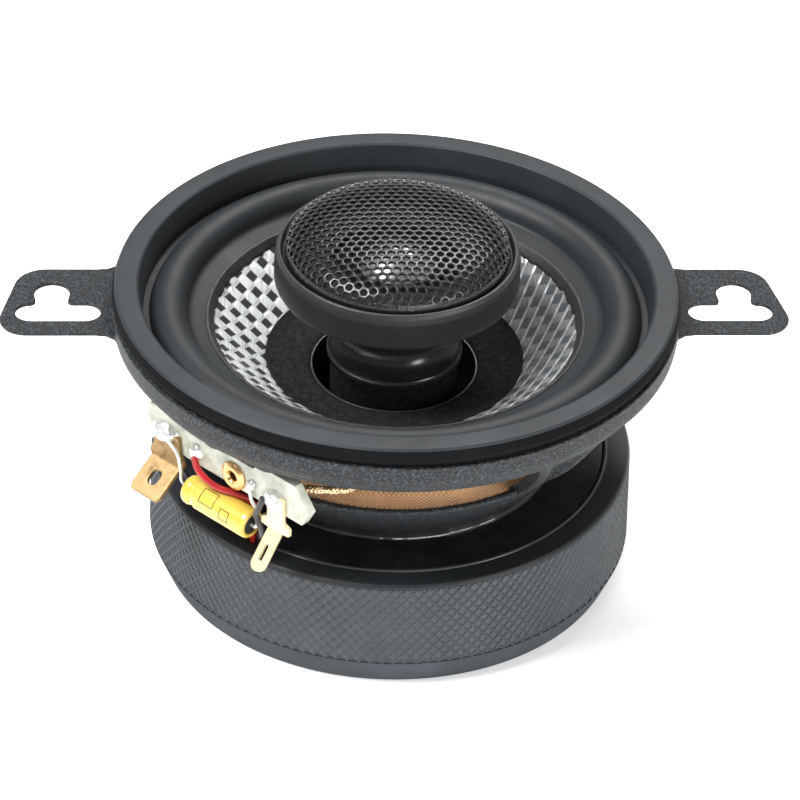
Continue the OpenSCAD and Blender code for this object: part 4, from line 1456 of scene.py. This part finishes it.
class SPEAKER_OT_crossover(bpy.types.Operator):
    """Builds the capacitor in its sleeve and its two leads"""

    bl_idname = "speaker.crossover"
    bl_label = "Crossover"

    def execute(self, context):
        can = build_capacitor()
        marks = make_object("sleeve_print",
                            *joined([printed_frame(4.1, 7.2, 18, 78), printed_frame(8.6, 10.6, -2, 40)]),
                            "print_black", flat=True)
        tidy_mesh(marks, 0.0001 * MM)
        finish_piece(join_objects("capacitor", [can, marks]), "frame", "capacitor_sleeve",
                     "crossover_capacitor")
        left = [(CAP_S0 + 0.3, CAP_N, CAP_Z), (CAP_S0 - 0.9, CAP_N, CAP_Z), (-7.6, 41.3, 29.8),
                (-7.6, 41.6, 32.4),
                (-8.6, 41.4, 34.6), (-11.3, 41.2, 35.9)]
        right = [(CAP_S1 - 0.5, CAP_N, CAP_Z), (CAP_S1 + 0.7, CAP_N - 0.1, CAP_Z + 0.1), (7.9, 39.9, 30.6),
                 (7.1, 40.5, 33),
                 (6.8, 40.6, 34.7), (6.6, 40.4, 35.6)]
        leads = [tube_data(smooth_path(on_board(p), 8), 0.3, 10) for p in (left, right)]
        made = make_object("lead_wires", *joined(leads), "solder", sharp=60)
        finish_piece(made, "frame", "solder", "capacitor_leads")
        return {"FINISHED"}


WIRE_ANGLE = radians(-129)
MOTOR_RUN = [(36.1, 22.6), (36.0, 19), (36.0, 12), (35.9, 6), (35.2, 3.4), (33, 3.1), (26, 3.1), (18, 3.1),
             (11, 3.1),
             (6.6, 3.1), (5.3, 3.6), (4.6, 5.5), (4.6, 8), (4.6, 15), (4.6, 24), (4.6, 34), (4.6, 44),
             (4.6, 47.9)]


def motor_run(side):
    return [(r * cos(WIRE_ANGLE) - side * sin(WIRE_ANGLE), r * sin(WIRE_ANGLE) + side * cos(WIRE_ANGLE), z)
            for r, z in MOTOR_RUN]


def wire(name, start, side, mat, slot, node):
    path = smooth_path(on_board(start) + motor_run(side), 6)
    made = make_object(name, *tube_data(path, 0.55, 12), mat, sharp=60)
    return finish_piece(made, "frame", slot, node)


def braid_data(path, radius, strands=8, strand_radius=0.17, turns_per_mm=0.42):
    """A tinsel braid: two sets of strands wound against each other round a path."""
    lengths = np.concatenate([[0], np.cumsum(np.linalg.norm(np.diff(path, axis=0), axis=1))])
    _, u, w = path_frames(path)
    parts = [tube_data(path, radius * 0.72, 8)]
    for k in range(strands):
        way = 1 if k % 2 else -1
        phase = 2 * pi * (k // 2) / (strands / 2) + (0.4 if k % 2 else 0)
        a = phase + way * 2 * pi * turns_per_mm * lengths
        r = radius + 0.09 * np.cos(a * 2 + phase)
        line = path + r[:, None] * (np.cos(a)[:, None] * u + np.sin(a)[:, None] * w)
        parts.append(tube_data(line, strand_radius, 6))
    return joined(parts)


def tinsel(side):
    points = [(side * 14.4, 37.8, 37.9), (side * 16.4, 37.1, 38.4), (side * 19, 34.6, 38.3),
              (side * 19.6, 31.2, 37.2),
              (side * 18.4, 26.6, 36.4), (side * 15.6, 21.6, 36.3), (side * 12.9, 18.3, 36.9)]
    return braid_data(smooth_path(on_board(points), 16), 0.5)


class SPEAKER_OT_wiring(bpy.types.Operator):
    """Builds the tweeter's two wires and the braided leads to the cone"""

    bl_idname = "speaker.wiring"
    bl_label = "Wiring"

    def execute(self, context):
        wire("wire_red", [(-5.2, 40.9, 35.2), (-3.4, 41.6, 33.8), (-0.6, 41.1, 32.2), (2.2, 39.6, 31.4),
                          (4.2, 38.2, 30.4),
                          (5.2, 37.3, 28.4), (4.9, 36.9, 26), (4.1, 36.5, 24.4)], -0.7, "red_insulation",
             "red_insulation",
             "red_tweeter_wire")
        wire("wire_black", [(10.3, 41.3, 35.6), (9.7, 41.5, 33.7), (8.75, 41.2, 31.4), (8.95, 40.2, 28.4),
                            (8.2, 39.2, 25.9),
                            (6.4, 37.6, 24)], 0.7, "black_insulation", "black_insulation",
             "black_tweeter_wire")
        leads = make_object("braided_leads", *joined([tinsel(1), tinsel(-1)]), "tinsel", sharp=60)
        bend_piece(leads, "tinsel_leads")
        return {"FINISHED"}


# ---------------------------------------------------------------- stage


VIEW = {"distance": 650.0, "elevation": 35.86, "azimuth": 3.77, "roll": 2.13, "x": -0.52, "y": 18.95,
        "centre_z": 51.4, "lens": 182.0}


def build_camera():
    """The camera: it looks down at the front ring's centre, with a small turn and tilt."""
    el, roll, turn = (radians(VIEW[k]) for k in ("elevation", "roll", "azimuth"))
    back = Vector((0, -cos(el), sin(el)))
    right = Vector((1, 0, 0))
    up = back.cross(right)
    level_right = cos(roll) * right + sin(roll) * up
    level_up = -sin(roll) * right + cos(roll) * up
    place = -VIEW["x"] * level_right - VIEW["y"] * level_up + VIEW["distance"] * back
    spin = Matrix.Rotation(-turn, 3, "Z")
    axes = Matrix([spin @ v for v in (level_right, level_up, back)]).transposed()
    camera = bpy.data.objects.new("camera", bpy.data.cameras.new("camera"))
    camera.data.lens = VIEW["lens"]
    camera.data.sensor_width = 36
    camera.data.clip_start = 0.01
    camera.data.clip_end = 20
    target = Vector((0, 0, VIEW["centre_z"]))
    camera.matrix_world = Matrix.Translation((spin @ place + target) * MM) @ axes.to_4x4()
    bpy.context.scene.collection.objects.link(camera)
    bpy.context.scene.camera = camera


def area_light(name, place, target, size, power):
    data = bpy.data.lights.new(name, "AREA")
    data.shape = "RECTANGLE"
    data.size, data.size_y = size
    data.energy = power
    lamp = bpy.data.objects.new(name, data)
    lamp.location = place
    lamp.rotation_euler = (Vector(place) - Vector(target)).to_track_quat("Z", "Y").to_euler()
    bpy.context.scene.collection.objects.link(lamp)


class SPEAKER_OT_stage(bpy.types.Operator):
    """Sets up the camera, the soft lights and the pale floor"""

    bl_idname = "speaker.stage"
    bl_label = "Stage"

    def execute(self, context):
        build_camera()
        half = 3.0
        mesh = bpy.data.meshes.new("floor")
        mesh.from_pydata([(-half, -half, 0), (half, -half, 0), (half, half, 0), (-half, half, 0)], [],
                         [(0, 1, 2, 3)])
        floor = bpy.data.objects.new("floor", mesh)
        paper = Shader("floor_paper", (0.95, 0.95, 0.95), 0.9, spec=0.1, Emission_Color=(1, 1, 1, 1),
                       Emission_Strength=0.3)
        mesh.materials.append(paper.material)
        context.scene.collection.objects.link(floor)
        floor.location = (0, 0, -0.0001)
        world = bpy.data.worlds.new("studio")
        context.scene.world = world
        world.use_nodes = True
        background = world.node_tree.nodes["Background"]
        background.inputs["Color"].default_value = (1, 1, 1, 1)
        background.inputs["Strength"].default_value = 0.32
        context.scene.view_settings.view_transform = "Standard"
        area_light("key", (-0.6, -0.2, 1.05), (0, 0, 0.03), (0.5, 0.5), 21)
        area_light("fill", (0.9, -0.75, 0.55), (0, 0, 0.03), (0.4, 0.4), 7)
        area_light("low", (0.35, -1.1, 0.22), (0, 0, 0.035), (0.7, 0.2), 3.2)
        area_light("back", (0.25, 0.75, 0.95), (0, 0, 0.05), (0.8, 0.3), 9)
        return {"FINISHED"}


# ---------------------------------------------------------------- add-on


class SPEAKER_PT_panel(bpy.types.Panel):
    """Lists the speaker's pieces in the sidebar"""

    bl_idname = "SPEAKER_PT_panel"
    bl_label = "Coaxial speaker"
    bl_space_type = "VIEW_3D"
    bl_region_type = "UI"
    bl_category = "Speaker"

    def draw(self, context):
        for step in STEPS:
            self.layout.operator(step.bl_idname)
        for group in (context.scene.speaker_sizes, context.scene.speaker_colours):
            for key in group.__annotations__:
                self.layout.prop(group, key)


STEPS = (SPEAKER_OT_stage, SPEAKER_OT_motor, SPEAKER_OT_basket, SPEAKER_OT_gasket, SPEAKER_OT_suspension,
         SPEAKER_OT_cone, SPEAKER_OT_tweeter, SPEAKER_OT_terminals, SPEAKER_OT_crossover, SPEAKER_OT_wiring)
CLASSES = (SpeakerSizes, SpeakerColours, *STEPS, SPEAKER_PT_panel)


def register():
    for made in CLASSES:
        bpy.utils.register_class(made)
    bpy.types.Scene.speaker_sizes = bpy.props.PointerProperty(type=SpeakerSizes)
    bpy.types.Scene.speaker_colours = bpy.props.PointerProperty(type=SpeakerColours)


def unregister():
    del bpy.types.Scene.speaker_colours
    del bpy.types.Scene.speaker_sizes
    for made in reversed(CLASSES):
        bpy.utils.unregister_class(made)


def main():
    register()
    for step in STEPS:
        group, name = step.bl_idname.split(".")
        getattr(getattr(bpy.ops, group), name)()


if __name__ == "__main__":
    main()
